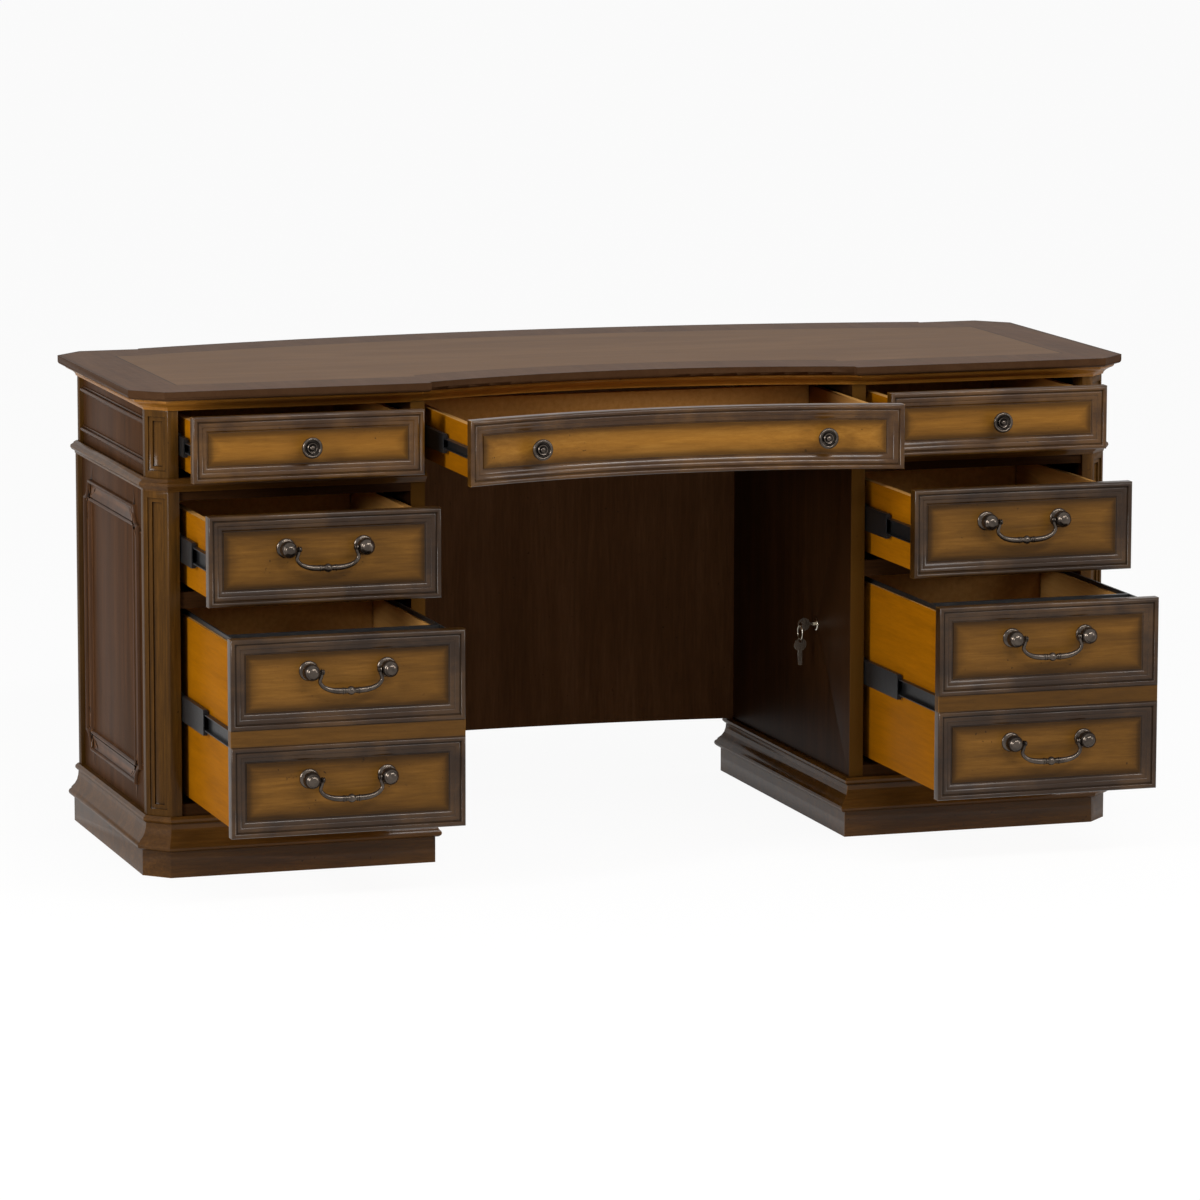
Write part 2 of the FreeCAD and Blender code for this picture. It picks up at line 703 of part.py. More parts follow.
def caged(web, way, z, half, tip, cage_tip):
    """The middle member: a C section with a ball cage on each side of its flanges."""
    t, cage = g.slide_metal, g.slide_cage
    inside = web + way * t
    flange = half - cage
    held = flange - t - cage
    inner_tip = tip - way * g.slide_play
    return [
        (web, z - half), (web, z + half), (cage_tip, z + half), (cage_tip, z + flange), (tip, z + flange),
        (tip, z + flange - t), (inner_tip, z + flange - t), (inner_tip, z + held), (inside, z + held),
        (inside, z - held), (inner_tip, z - held), (inner_tip, z + t - flange), (tip, z + t - flange),
        (tip, z - flange), (cage_tip, z - flange), (cage_tip, z - half),
    ]


def slides(name, seat, way, z, tall, y0, y1):
    t, play = g.slide_metal, g.slide_play
    half = tall / 2
    cage_half = half - t - play
    mid_half = cage_half - g.slide_cage
    in_half = mid_half - t - g.slide_cage - play
    case = bar(name + "_case", channel(seat, way, z, half, t, seat + way * g.slide_reach), y0, y1)
    mid_web = seat + way * (t + play)
    middle = bar(name + "_middle", caged(mid_web, way, z, cage_half, seat + way * g.slide_mid_reach,
                                         seat + way * (g.slide_reach - play)), y0, y1)
    in_web = seat + way * g.slide_gap
    in_tip = mid_web + way * (t + g.slide_back_play)
    inner = bar(name + "_inner", channel(in_web, -way, z, in_half, t, in_tip), y0, y1)
    return case, middle, inner


# Drawer fronts: outer bead, step, sloped moulding and sunk field
def front_plate(name, x0, x1, z0, z1, fields):
    body = bar(name, rectangle(x0, x1, z0, z1), bead_face, front_back)
    for k, (low, high) in enumerate(fields):
        for stage, inset, deep, slope in (("step", g.bead_width, g.bead_drop, False),
                                          ("field", g.field_inset, g.field_drop, True)):
            shape = rectangle(x0 + inset, x1 - inset, low + inset, high - inset)
            outline = sketch(body, "%s_%s%d" % (name, stage, k), "XZ_Plane", shape, lift=-bead_face)
            pocket = pad(body, "%s_%s%d_cut" % (name, stage, k), outline, deep, "PartDesign::Pocket")
            if slope:
                pocket.TaperAngle = -g.field_slope.value
                bind(pocket, "TaperAngle", -g.field_slope)
    if len(fields) > 1:
        shape = rectangle(x0 - inset, x1 + inset, fields[1][1], fields[0][0])
        outline = sketch(body, name + "_band", "XZ_Plane", shape, lift=-bead_face)
        pad(body, name + "_band_cut", outline, g.bead_drop, "PartDesign::Pocket")
    doc.recompute()
    solid = body.Tip
    level = bead_face.value
    names = ["Edge%d" % (k + 1) for k, edge in enumerate(solid.Shape.Edges)
             if abs(edge.BoundBox.YMax - level) < g.slide_play.value]
    fillet = body.newObject("PartDesign::Fillet", name + "_bead")
    fillet.Base = (solid, names)
    fillet.Radius = g.bead_round.value
    bind(fillet, "Radius", g.bead_round)
    return body


def box_boards(name, x0, x1, y1, z0, z1):
    """Sides, back, front and bottom of a drawer box, as boards that meet."""
    wall = g.box_wall
    low = z0 + g.box_bottom_lift
    y0 = front_back
    return [
        box(name + "_side_in", x0, x0 + wall, y0, y1, z0, z1),
        box(name + "_side_out", x1 - wall, x1, y0, y1, z0, z1),
        box(name + "_front", x0 + wall, x1 - wall, y0, y0 + wall, z0, z1),
        box(name + "_back", x0 + wall, x1 - wall, y1 - wall, y1, low, z1),
        box(name + "_bottom", x0 + wall, x1 - wall, y0 + wall, y1 - wall, low, low + g.box_bottom),
    ]


upper_front = (waist_top + g.front_gap, case_top - g.upper_gap)
middle_front = (middle_rail_base + g.middle_rail_height + g.front_gap, upper_rail_base - g.front_gap)
file_front = (g.base_height + g.base_board + g.front_gap, middle_rail_base - g.front_gap)
file_mid = (file_front[0] + file_front[1]) / 2
file_fields = [(file_mid + g.file_band / 2, file_front[1]), (file_front[0], file_mid - g.file_band / 2)]
drawer_mid = (hole_in + hole_out) / 2
box_in, box_out = hole_in + g.slide_gap, hole_out - g.slide_gap
box_back = front_back + g.box_depth
slide_front = front_back + g.slide_set_back
slide_back = slide_front + g.slide_length

KINDS = [
    ("top", upper_front, [upper_front], g.top_box_drop, g.slide_low),
    ("mid", middle_front, [middle_front], g.mid_box_drop, g.slide_tall),
    ("file", file_front, file_fields, g.file_box_drop, g.slide_tall),
]
opened = {
    ("left", "top"): g.open_left_top, ("left", "mid"): g.open_left_mid, ("left", "file"): g.open_left_file,
    ("right", "top"): g.open_right_top, ("right", "mid"): g.open_right_mid, ("right", "file"): g.open_right_file,
}
case_slides = []
for kind, (low, high), fields, drop, tall in KINDS:
    plate = front_plate("front_" + kind, hole_in + g.front_gap, hole_out - g.front_gap, low, high, fields)
    z0, z1 = low + g.box_lift, high - drop
    boards = box_boards("box_" + kind, box_in, box_out, box_back, z0, z1)
    middle_z = (z0 + z1) / 2
    near = slides("slide_%s_near" % kind, hole_in, 1, middle_z, tall, slide_front, slide_back)
    far = slides("slide_%s_far" % kind, hole_out, -1, middle_z, tall, slide_front, slide_back)
    case_slides += pair(near[0]) + pair(far[0])
    middles, inners = [near[1], far[1]], [near[2], far[2]]
    if kind == "file":
        edge = (g.box_wall - g.file_rail_thick) / 2
        top = z1 + g.file_rail_height
        rail_y0, rail_y1 = front_back + g.box_wall, box_back - g.box_wall
        rail_a = box("file_rail_in", box_in + edge, box_in + edge + g.file_rail_thick, rail_y0, rail_y1, z1, top)
        rail_b = box("file_rail_out", box_out - edge - g.file_rail_thick, box_out - edge, rail_y0, rail_y1, z1, top)
        bar_y = front_back + g.file_bar_place
        cross = box("file_bar", box_in + edge + g.file_rail_thick, box_out - edge - g.file_rail_thick,
                    bar_y, bar_y + g.file_bar_thick, z1, top)
        inners += [rail_a, rail_b, cross]
    for hand in ("left", "right"):
        out = opened[(hand, kind)]
        turn = mirrored if hand == "left" else (lambda item: item)
        node("front_%s_%s" % (hand, kind), [turn(plate)], out)
        node("box_%s_%s" % (hand, kind), [turn(item) for item in boards], out)
        node("inner_runners_%s_%s" % (hand, kind), [turn(item) for item in inners], out)
        node("middle_runners_%s_%s" % (hand, kind), [turn(item) for item in middles], out / 2)

# Centre drawer: its front follows the hollow
face = g.overhang - g.front_proud
rear = face + g.front_thick
wide = g.knee_half - g.front_gap
low, high = upper_front
body = new_body("centre_plate")
arch = [
    (-wide, hollow_y(face, wide)), (wide, hollow_y(face, wide), (0, hollow_mid), -1, hollow_arc + face),
    (wide, hollow_y(rear, wide)), (-wide, hollow_y(rear, wide), (0, hollow_mid), 1, hollow_arc + rear),
]
outline = sketch(body, "centre_plate_plan", "XY_Plane", arch, lift=low)
pad(body, "centre_plate_pad", outline, high - low)
for stage, inset, deep in (("step", g.bead_width, g.bead_drop), ("slope", (g.bead_width + g.field_inset) / 2,
                           (g.bead_drop + g.field_drop) / 2), ("field", g.field_inset, g.field_drop)):
    span, sunk = wide - inset, face + deep
    before = hollow_y(face, wide) - g.front_thick
    shape = [(-span, before), (span, before), (span, hollow_y(sunk, span)),
             (-span, hollow_y(sunk, span), (0, hollow_mid), 1, hollow_arc + sunk)]
    outline = sketch(body, "centre_plate_" + stage, "XY_Plane", shape, lift=high - inset)
    pad(body, "centre_plate_%s_cut" % stage, outline, high - low - 2 * inset, "PartDesign::Pocket")
node("front_centre", [body], g.open_centre)

z0, z1 = low + g.box_lift, high - g.top_box_drop
box_edge = g.knee_half - g.slide_gap
inner_edge = box_edge - g.box_wall
centre_back = front_back + g.centre_box_depth
side_plan = [(inner_edge, hollow_y(rear, inner_edge)), (box_edge, hollow_y(rear, box_edge)),
             (box_edge, centre_back), (inner_edge, centre_back)]
centre_side = board("box_centre_side", side_plan, z0, z1)
tray_low = z0 + g.box_bottom_lift
tray_plan = [(-inner_edge, centre_back - g.box_wall), (-inner_edge, hollow_y(rear, inner_edge)),
             (inner_edge, hollow_y(rear, inner_edge), (0, hollow_mid), -1, hollow_arc + rear),
             (inner_edge, centre_back - g.box_wall)]
tray = board("box_centre_bottom", tray_plan, tray_low, tray_low + g.box_bottom)
centre_end = box("box_centre_back", -inner_edge, inner_edge, centre_back - g.box_wall, centre_back, tray_low, z1)
node("box_centre", pair(centre_side) + [tray, centre_end], g.open_centre)
slide_start = hollow_y(rear, box_edge) + g.slide_set_back
centre = slides("slide_centre", g.knee_half, -1, (z0 + z1) / 2, g.slide_low, slide_start,
                slide_start + g.centre_slide_length)
case_slides += pair(centre[0])
node("inner_runners_centre", pair(centre[2]), g.open_centre)
node("middle_runners_centre", pair(centre[1]), g.open_centre / 2)
node("case_runners", case_slides)

# Knobs: a turned foot, neck and ringed head
knob_shares = [(0.0, 0.0), (0.53, 0.0), (0.53, 0.07), (0.36, 0.16), (0.33, 0.50), (0.62, 0.60), (0.93, 0.68),
               (1.0, 0.76), (1.0, 0.84), (0.90, 0.95), (0.74, 1.0), (0.62, 0.95), (0.50, 0.90), (0.36, 0.90),
               (0.26, 0.97), (0.0, 1.0)]


def knob(name, x, y, z):
    points = [(g.knob_radius * out, -(g.knob_reach * along)) for out, along in knob_shares]
    item = turned(name, points)
    place(item, x, y, z)
    return item


upper_mid = (upper_front[0] + upper_front[1]) / 2
side_knob = knob("knob_side", drawer_mid, field_face, upper_mid)
node("knob_left_top", [mirrored(side_knob)], g.open_left_top)
node("knob_right_top", [side_knob], g.open_right_top)
knob_foot_share = 0.53
centre_field = hollow_y(face + g.field_drop, g.centre_knob_place + g.knob_radius * knob_foot_share)
centre_knob = knob("knob_middle", g.centre_knob_place, centre_field, upper_mid)
node("knobs_centre", pair(centre_knob), g.open_centre)

# Bail pulls: a rose, neck and ball at each end, and a bail that hangs from pins in the balls
ball_y = -g.ball_reach
neck_root = g.rose_thick * 1.6
neck_top = g.ball_reach - root(g.ball_radius * g.ball_radius - g.neck_radius * g.neck_radius)


def rod(name, radius, x0, x1, y, z):
    """A round rod along X."""
    item = doc.addObject("Part::Cylinder", name)
    for path, size in (("Radius", radius), ("Height", x1 - x0)):
        setattr(item, path, worth(size))
        bind(item, path, size)
    place(item, x0, y, z, FreeCAD.Rotation(V(0, 1, 0), 90))
    return item


def pull_post(name, way, z):
    points = [
        (nothing, nothing), (g.rose_radius, nothing), (g.rose_radius, -g.rose_thick / 2),
        (g.rose_radius - g.rose_thick / 2, -g.rose_thick), (g.neck_radius, -neck_root),
        (g.neck_radius, -neck_top),
        (nothing, -(g.ball_reach + g.ball_radius), (0, ball_y), -1, g.ball_radius),
    ]
    item = turned(name, points)
    x = drawer_mid + way * g.pull_half
    place(item, x, field_face, z)
    far_in = x + way * (g.pin_past + g.pin_play)
    near_in = x - way * (g.ball_radius + g.pin_play)
    ends = (near_in, far_in) if way > 0 else (far_in, near_in)
    bore = rod(name + "_bore", g.pin_radius + g.pin_play, ends[0], ends[1], field_face - g.ball_reach, z)
    return cut(name + "_bored", item, bore)


def bail(name, z):
    body = new_body(name)
    start = g.pull_half - g.ball_radius - g.bail_stand
    bend = g.pull_half - g.bail_inset
    knee_x, low_x = bend - g.bail_turn, bend - g.bail_turn - g.bail_sweep
    drop = g.bail_turn + g.bail_sweep
    path = body.newObject("Sketcher::SketchObject", name + "_path")
    path.AttachmentSupport = (plane_of(body, "XZ_Plane"), [""])
    path.MapMode = "FlatFace"
    draw(path, [
        (-start, nothing), (-bend, nothing),
        (-knee_x, -g.bail_turn, (-bend, -g.bail_turn), -1, g.bail_turn),
        (-low_x, -drop, (-low_x, -g.bail_turn), 1, g.bail_sweep),
        (low_x, -drop),
        (knee_x, -g.bail_turn, (low_x, -g.bail_turn), 1, g.bail_sweep),
        (bend, nothing, (bend, -g.bail_turn), -1, g.bail_turn),
        (start, nothing),
    ], closed=False)
    section = body.newObject("Sketcher::SketchObject", name + "_section")
    section.AttachmentSupport = (plane_of(body, "YZ_Plane"), [""])
    section.MapMode = "FlatFace"
    section.AttachmentOffset = FreeCAD.Placement(V(0, 0, -start.value), FreeCAD.Rotation())
    bind(section, "AttachmentOffset.Base.z", -start)
    ring(section, nothing, nothing, g.bail_wire)
    pipe = body.newObject("PartDesign::AdditivePipe", name + "_rod")
    pipe.Profile = section
    pipe.Spine = (path, ["Edge%d" % (k + 1) for k in range(7)])
    y = field_face - g.ball_reach
    place(body, drawer_mid, y, z)
    half_shares = [(0.62, 1.0), (0.74, 0.86), (0.74, 0.70), (0.52, 0.60), (0.60, 0.45), (0.92, 0.28)]
    turned_shares = [(0.0, -1.0)] + [(out, -along) for out, along in half_shares] + [(1.0, 0.0)]
    turned_shares += half_shares[::-1] + [(0.0, 1.0)]
    middle = turned(name + "_bead", [(g.bail_bead * out, g.bail_bead_half * along)
                                     for out, along in turned_shares])
    place(middle, drawer_mid, y, z - drop, FreeCAD.Rotation(V(0, 0, 1), 90))
    pieces = [body, middle]
    for way, end in ((-1, "a"), (1, "b")):
        tip = drawer_mid + way * (g.pull_half + g.pin_past)
        collar = drawer_mid + way * start
        inside = collar - way * g.bail_collar
        low_end, high_end = (tip, collar) if way < 0 else (collar, tip)
        pieces.append(rod("%s_pin_%s" % (name, end), g.pin_radius, low_end, high_end, y, z))
        low_end, high_end = (collar, inside) if way < 0 else (inside, collar)
        pieces.append(rod("%s_collar_%s" % (name, end), g.bail_ring, low_end, high_end, y, z))
    return fuse(name + "_whole", pieces)


# The posts stand above the middle of their field, by a share of the height they leave free
post_lift_share = 0.392


def post_height(low, high):
    free = (high - low) / 2 - g.field_inset - g.ball_radius
    return (low + high) / 2 + free * post_lift_share


middle_post_z = post_height(*middle_front)
file_post_z = [post_height(low, high) for low, high in file_fields]
for kind, spots in (("mid", [("", middle_post_z)]),
                    ("file", [("_upper", file_post_z[0]), ("_lower", file_post_z[1])])):
    posts = []
    for tag, z in spots:
        posts += [pull_post("post_%s%s_a" % (kind, tag), -1, z), pull_post("post_%s%s_b" % (kind, tag), 1, z)]
        swing = bail("bail_%s%s" % (kind, tag), z)
        node("bail_left_%s%s" % (kind, tag), [mirrored(swing)], opened[("left", kind)])
        node("bail_right_%s%s" % (kind, tag), [swing], opened[("right", kind)])
    node("pull_posts_left_" + kind, [mirrored(item) for item in posts], opened[("left", kind)])
    node("pull_posts_right_" + kind, posts, opened[("right", kind)])

# Lock on the kneehole side of the right pedestal, its key, and the spare on a ring
lock_turn = FreeCAD.Rotation(V(0, 0, 1), 90)
barrel_points = [
    (nothing, -g.lock_depth), (g.lock_barrel, -g.lock_depth), (g.lock_barrel, nothing), (g.lock_flange, nothing),
    (g.lock_flange, g.lock_flange_thick / 2), (g.lock_flange - g.lock_flange_thick / 2, g.lock_flange_thick),
    (g.lock_bore, g.lock_flange_thick), (g.lock_bore, -g.lock_depth * 3 / 4), (nothing, -g.lock_depth * 3 / 4),
]
barrel = turned("barrel", barrel_points)
place(barrel, g.knee_half, lock_y, g.lock_height, lock_turn)
node("lock_cylinder", [barrel])

plug_radius = g.lock_bore - g.lock_play
plug_back = g.lock_play - g.lock_depth * 3 / 4
plug = turned("plug", [(nothing, plug_back), (plug_radius, plug_back), (plug_radius, g.lock_flange_thick),
                       (nothing, g.lock_flange_thick)])
place(plug, g.knee_half, lock_y, g.lock_height, lock_turn)


def bow(name, x, z):
    """Round key bow in an upright plane, with its hole at one edge."""
    item = doc.addObject("Part::Cylinder", name)
    for path, size in (("Radius", g.key_bow), ("Height", g.key_thick)):
        setattr(item, path, worth(size))
        bind(item, path, size)
    place(item, x, lock_y + g.key_thick / 2, z, FreeCAD.Rotation(V(1, 0, 0), 90))
    return item


def bow_hole(name, x, z):
    item = doc.addObject("Part::Cylinder", name)
    for path, size in (("Radius", g.key_hole), ("Height", 3 * g.key_thick)):
        setattr(item, path, worth(size))
        bind(item, path, size)
    place(item, x, lock_y + g.key_thick * 3 / 2, z, FreeCAD.Rotation(V(1, 0, 0), 90))
    return item


lock_face = g.knee_half - g.lock_flange_thick
bow_x = lock_face - g.key_shank - g.key_bow
shank = box("key_shank_bar", bow_x, lock_face, lock_y - g.key_thick / 2, lock_y + g.key_thick / 2,
            g.lock_height - g.key_shank_half, g.lock_height + g.key_shank_half)
hole_x = bow_x - g.key_bow + g.key_hole_edge
head = fuse("key_body", [shank, bow("key_disc", bow_x, g.lock_height), plug])
node("lock_key", [cut("key_holed", head, bow_hole("key_eye", hole_x, g.lock_height))])

slack = g.key_hole - g.ring_wire - g.slide_play
ring_top = g.lock_height - slack
loop = doc.addObject("Part::Torus", "key_loop")
for path, size in (("Radius1", g.ring_radius), ("Radius2", g.ring_wire)):
    setattr(loop, path, worth(size))
    bind(loop, path, size)
place(loop, hole_x, lock_y, ring_top - g.ring_radius, FreeCAD.Rotation(V(0, 1, 0), 90))
spare_hole_z = ring_top - 2 * g.ring_radius - slack
spare_z = spare_hole_z - g.key_bow + g.key_hole_edge
blade_low = spare_z - g.key_bow - g.spare_blade
blade = box("spare_blade_bar", hole_x - g.spare_blade_half, hole_x + g.spare_blade_half,
            lock_y - g.key_thick / 2, lock_y + g.key_thick / 2, blade_low, spare_z)
spare = fuse("spare_body", [blade, bow("spare_disc", hole_x, spare_z)])
node("spare_key", [loop, cut("spare_holed", spare, bow_hole("spare_eye", hole_x, spare_hole_z))])

# Check every object, then write one file for each node
doc.recompute()
for item in doc.Objects:
    if "Invalid" in item.State or "Error" in item.State:
        raise RuntimeError("%s failed: %s" % (item.Name, item.State))
os.makedirs("parts", exist_ok=True)
for item in NODES:
    if item.Shape.isNull() or not item.Shape.isValid():
        raise RuntimeError("%s has no valid shape" % item.Label)
for item in NODES:
    item.Shape.exportStep("parts/%s.step" % item.Label)
    box_of = item.Shape.BoundBox
    print("%-28s %d solids  x %.1f %.1f  y %.1f %.1f  z %.1f %.1f" % (
        item.Label, len(item.Shape.Solids), box_of.XMin, box_of.XMax, box_of.YMin, box_of.YMax,
        box_of.ZMin, box_of.ZMax))
print("datum %.3f" % datum.value)
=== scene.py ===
import json
import math

import bmesh
import bpy
from bpy.props import FloatProperty, FloatVectorProperty, PointerProperty
from mathutils import Euler, Matrix, Vector

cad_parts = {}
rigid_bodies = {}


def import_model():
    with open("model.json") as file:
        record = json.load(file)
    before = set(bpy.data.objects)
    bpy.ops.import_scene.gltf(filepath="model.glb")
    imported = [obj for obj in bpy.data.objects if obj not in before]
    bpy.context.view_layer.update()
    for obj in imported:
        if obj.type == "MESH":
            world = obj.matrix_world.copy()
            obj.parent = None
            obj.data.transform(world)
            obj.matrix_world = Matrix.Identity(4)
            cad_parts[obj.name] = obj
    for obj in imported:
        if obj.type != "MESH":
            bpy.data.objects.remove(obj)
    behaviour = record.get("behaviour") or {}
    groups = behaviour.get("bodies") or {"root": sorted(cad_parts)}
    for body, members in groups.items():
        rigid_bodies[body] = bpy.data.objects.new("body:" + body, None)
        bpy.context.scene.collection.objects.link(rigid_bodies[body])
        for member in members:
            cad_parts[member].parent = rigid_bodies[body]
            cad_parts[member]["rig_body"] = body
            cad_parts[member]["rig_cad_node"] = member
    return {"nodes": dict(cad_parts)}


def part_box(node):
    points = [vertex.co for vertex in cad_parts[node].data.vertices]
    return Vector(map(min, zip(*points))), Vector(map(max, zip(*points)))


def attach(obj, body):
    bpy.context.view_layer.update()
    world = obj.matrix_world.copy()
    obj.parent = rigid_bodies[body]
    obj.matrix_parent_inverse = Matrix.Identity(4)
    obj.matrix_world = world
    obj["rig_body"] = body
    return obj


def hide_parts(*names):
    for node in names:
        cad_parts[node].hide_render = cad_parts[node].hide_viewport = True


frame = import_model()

bl_info = {
    "name": "Executive desk",
    "version": (1, 0, 0),
    "blender": (4, 5, 0),
    "location": "View3D > Sidebar > Desk",
    "description": "Looks of a double-pedestal writing desk with its drawers pulled out",
    "category": "Object",
}

MM = 0.001
SAME_POINT = 0.01 * MM
NODES = frame["nodes"]
BODY_OF = {name: node["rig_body"] for name, node in NODES.items()}
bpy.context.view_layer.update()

# The top's plan in metres: X from its middle, Y from the middle of the box with the drawers out
HALF_WIDTH = 0.851
HALF_DEPTH = 0.300
DATUM = 0.124
CLIP = 0.048
HOLLOW_HALF = 0.363
HOLLOW_SAG = 0.062
BOW_HALF = 0.700
BOW_RISE = 0.084
BOW_APEX = 0.392
BORDER = 0.088


def arc(half, sag, apex):
    """Radius and middle of the circle through a hollow or bow of the top, in metres."""
    radius = (half * half + sag * sag) / (2 * sag)
    return radius, apex - radius


HOLLOW_APEX = 0.074 - HALF_DEPTH
HOLLOW = arc(HOLLOW_HALF, HOLLOW_SAG, HOLLOW_APEX + DATUM)
BOW = arc(BOW_HALF, BOW_RISE, BOW_APEX + DATUM)


def tone(red, green, blue):
    """A screen colour from 0 to 255 as the linear colour that a shader takes."""
    return tuple(((c / 255 + 0.055) / 1.055) ** 2.4 if c > 10 else c / 3294.6 for c in (red, green, blue))


# Shader sums
class Value:
    """What varies over a surface, written in sums that add their own Math nodes."""

    def __init__(self, finish, socket):
        self.finish = finish
        self.socket = socket

    def math(self, operation, *others):
        return self.finish.math(operation, self, *others)

    def __add__(self, other):
        return self.math("ADD", other)

    def __sub__(self, other):
        return self.math("SUBTRACT", other)

    def __mul__(self, other):
        return self.math("MULTIPLY", other)

    def __pow__(self, other):
        return self.math("POWER", other)

    def __rsub__(self, other):
        return self.finish.math("SUBTRACT", other, self)

    __radd__ = __add__
    __rmul__ = __mul__

    def least(self, other):
        return self.math("MINIMUM", other)

    def most(self, other):
        return self.math("MAXIMUM", other)

    def size(self):
        return self.math("ABSOLUTE")

    def between(self, low, high):
        """0 at low, 1 at high, smooth in between."""
        settings = {"interpolation_type": "SMOOTHSTEP"}
        return self.finish.add("ShaderNodeMapRange", settings, {0: self, 1: low, 2: high})


class Finish:
    """One procedural material. add() makes any node, and the rest are short names for common ones."""

    def __init__(self, name):
        self.material = bpy.data.materials.new(name)
        self.material.use_nodes = True
        self.tree = self.material.node_tree
        self.tree.nodes.clear()
        self.shader = self.tree.nodes.new("ShaderNodeBsdfPrincipled")
        self.surface = self.tree.nodes.new("ShaderNodeOutputMaterial")
        self.tree.links.new(self.shader.outputs[0], self.surface.inputs["Surface"])
        self.place = self.add("ShaderNodeTexCoord", out="Object")
        self.x, self.y, self.z = [self.along(axis) for axis in range(3)]

    def along(self, axis):
        return self.add("ShaderNodeSeparateXYZ", {}, {0: self.place}, out=axis)

    def add(self, kind, settings=None, values=None, out=0):
        node = self.tree.nodes.new(kind)
        for key, setting in (settings or {}).items():
            if key == "stops":
                ramp = node.color_ramp
                for k, (at, colour) in enumerate(setting):
                    stop = ramp.elements[k] if k < 2 else ramp.elements.new(at)
                    stop.position = at
                    stop.color = (*colour, 1)
            else:
                setattr(node, key, setting)
        for key, value in (values or {}).items():
            self.feed(node.inputs[key], value)
        return Value(self, node.outputs[out])

    def feed(self, socket, value):
        if isinstance(value, Value):
            self.tree.links.new(value.socket, socket)
        elif isinstance(value, tuple) and len(value) == 3 and socket.type == "RGBA":
            socket.default_value = (*value, 1)
        else:
            socket.default_value = value

    def math(self, operation, *values):
        return self.add("ShaderNodeMath", {"operation": operation}, dict(enumerate(values)))

    def mix(self, share, first, second, blend="MIX"):
        """A colour between two, or one laid on the other."""
        settings = {"data_type": "RGBA", "blend_type": blend}
        return self.add("ShaderNodeMix", settings, {0: share, 6: first, 7: second}, out=2)

    def stretched(self, sides, shift=(0, 0, 0)):
        values = {"Vector": self.place, "Scale": sides, "Location": shift}
        return self.add("ShaderNodeMapping", {}, values)

    def noise(self, scale, detail=4.0, rough=0.5, twist=0.0, at=None):
        values = {"Vector": at or self.place, "Scale": scale, "Detail": detail, "Roughness": rough,
                  "Distortion": twist}
        return self.add("ShaderNodeTexNoise", {}, values)

    def crevice(self, reach):
        """1 on open surfaces, falling towards 0 in this piece's own corners."""
        settings = {"samples": 6, "only_local": True}
        return self.add("ShaderNodeAmbientOcclusion", settings, {"Distance": reach}, out="AO")

    def arris(self, reach):
        """0 on flat surfaces, rising towards 1 at this piece's own outward edges."""
        settings = {"samples": 6, "only_local": True, "inside": True}
        return 1 - self.add("ShaderNodeAmbientOcclusion", settings, {"Distance": reach}, out="AO")

    def bump(self, height, strength, distance):
        values = {"Height": height, "Strength": strength, "Distance": distance}
        return self.add("ShaderNodeBump", {}, values)

    def set(self, **values):
        for key, value in values.items():
            self.feed(self.shader.inputs[key.replace("_", " ").title()], value)
        return self.material


GRAIN = {"X": (1.0, 14.0, 14.0), "Y": (14.0, 1.0, 14.0), "Z": (14.0, 14.0, 1.0)}
# Reaches in metres of the corner glaze and painted shade (crevice) and of the rubbed arrises with their
# painted highlight (arris).
CREVICE_REACH = 0.006
ARRIS_REACH = 0.0022
FRONT_CREVICE = 0.004
FRONT_ARRIS = 0.0016
RIM_STAIN = tone(112, 104, 84)


def grained(f, shades, grain, blotch, figure=1.0, shift=(0, 0, 0), at=None):
    """Long grain, fine pores and clouds of stain: gives the colour, the fine grain and the clouds."""
    dark, middle, light = shades
    along = at or f.stretched(GRAIN[grain], shift=shift)
    wide = f.noise(2.2 * figure, 5.0, 0.55, 0.6, along)
    fine = f.noise(16.0, 6.0, 0.7, 0.2, along)
    pores = f.noise(70.0, 3.0, 0.8, 0.0, along)
    clouds = f.noise(3.4, 3.0, 0.6, 0.4)
    colour = f.add("ShaderNodeValToRGB", {"stops": [(0.28, dark), (0.74, light), (0.5, middle)]},
                   {0: wide * 0.5 + fine * 0.5})
    colour = f.mix(pores.between(0.56, 0.72) * 0.45, colour, dark)
    colour = f.mix(clouds.between(0.45, 0.75) * blotch, colour, dark)
    return colour, fine, pores, clouds


def glazed(f, colour, glaze_and_shade, shades, fleck=0.6):
    """Dark glaze and painted shade where the mask says, and small flecks of distress all over."""
    deep = tuple(c * 0.14 for c in shades[0])
    flecks = f.noise(150.0, 2.0, 0.5).between(0.70, 0.74) * f.noise(14.0, 2.0).between(0.48, 0.6)
    return f.mix(flecks * fleck, f.mix(glaze_and_shade, colour, deep), deep)


def rub_and_highlight(f, colour, shades, reach, amount):
    """Stain rubbed thin along the arrises, in patches, and lightened there as a painted highlight."""
    rub_highlight_tone = tuple(min(1.0, c * 1.5) for c in shades[2])
    patch = f.noise(18.0, 3.0, 0.6).between(0.36, 0.62)
    return f.mix(f.arris(reach).between(0.18, 0.5) * (patch * 0.7 + 0.3) * amount, colour, rub_highlight_tone)


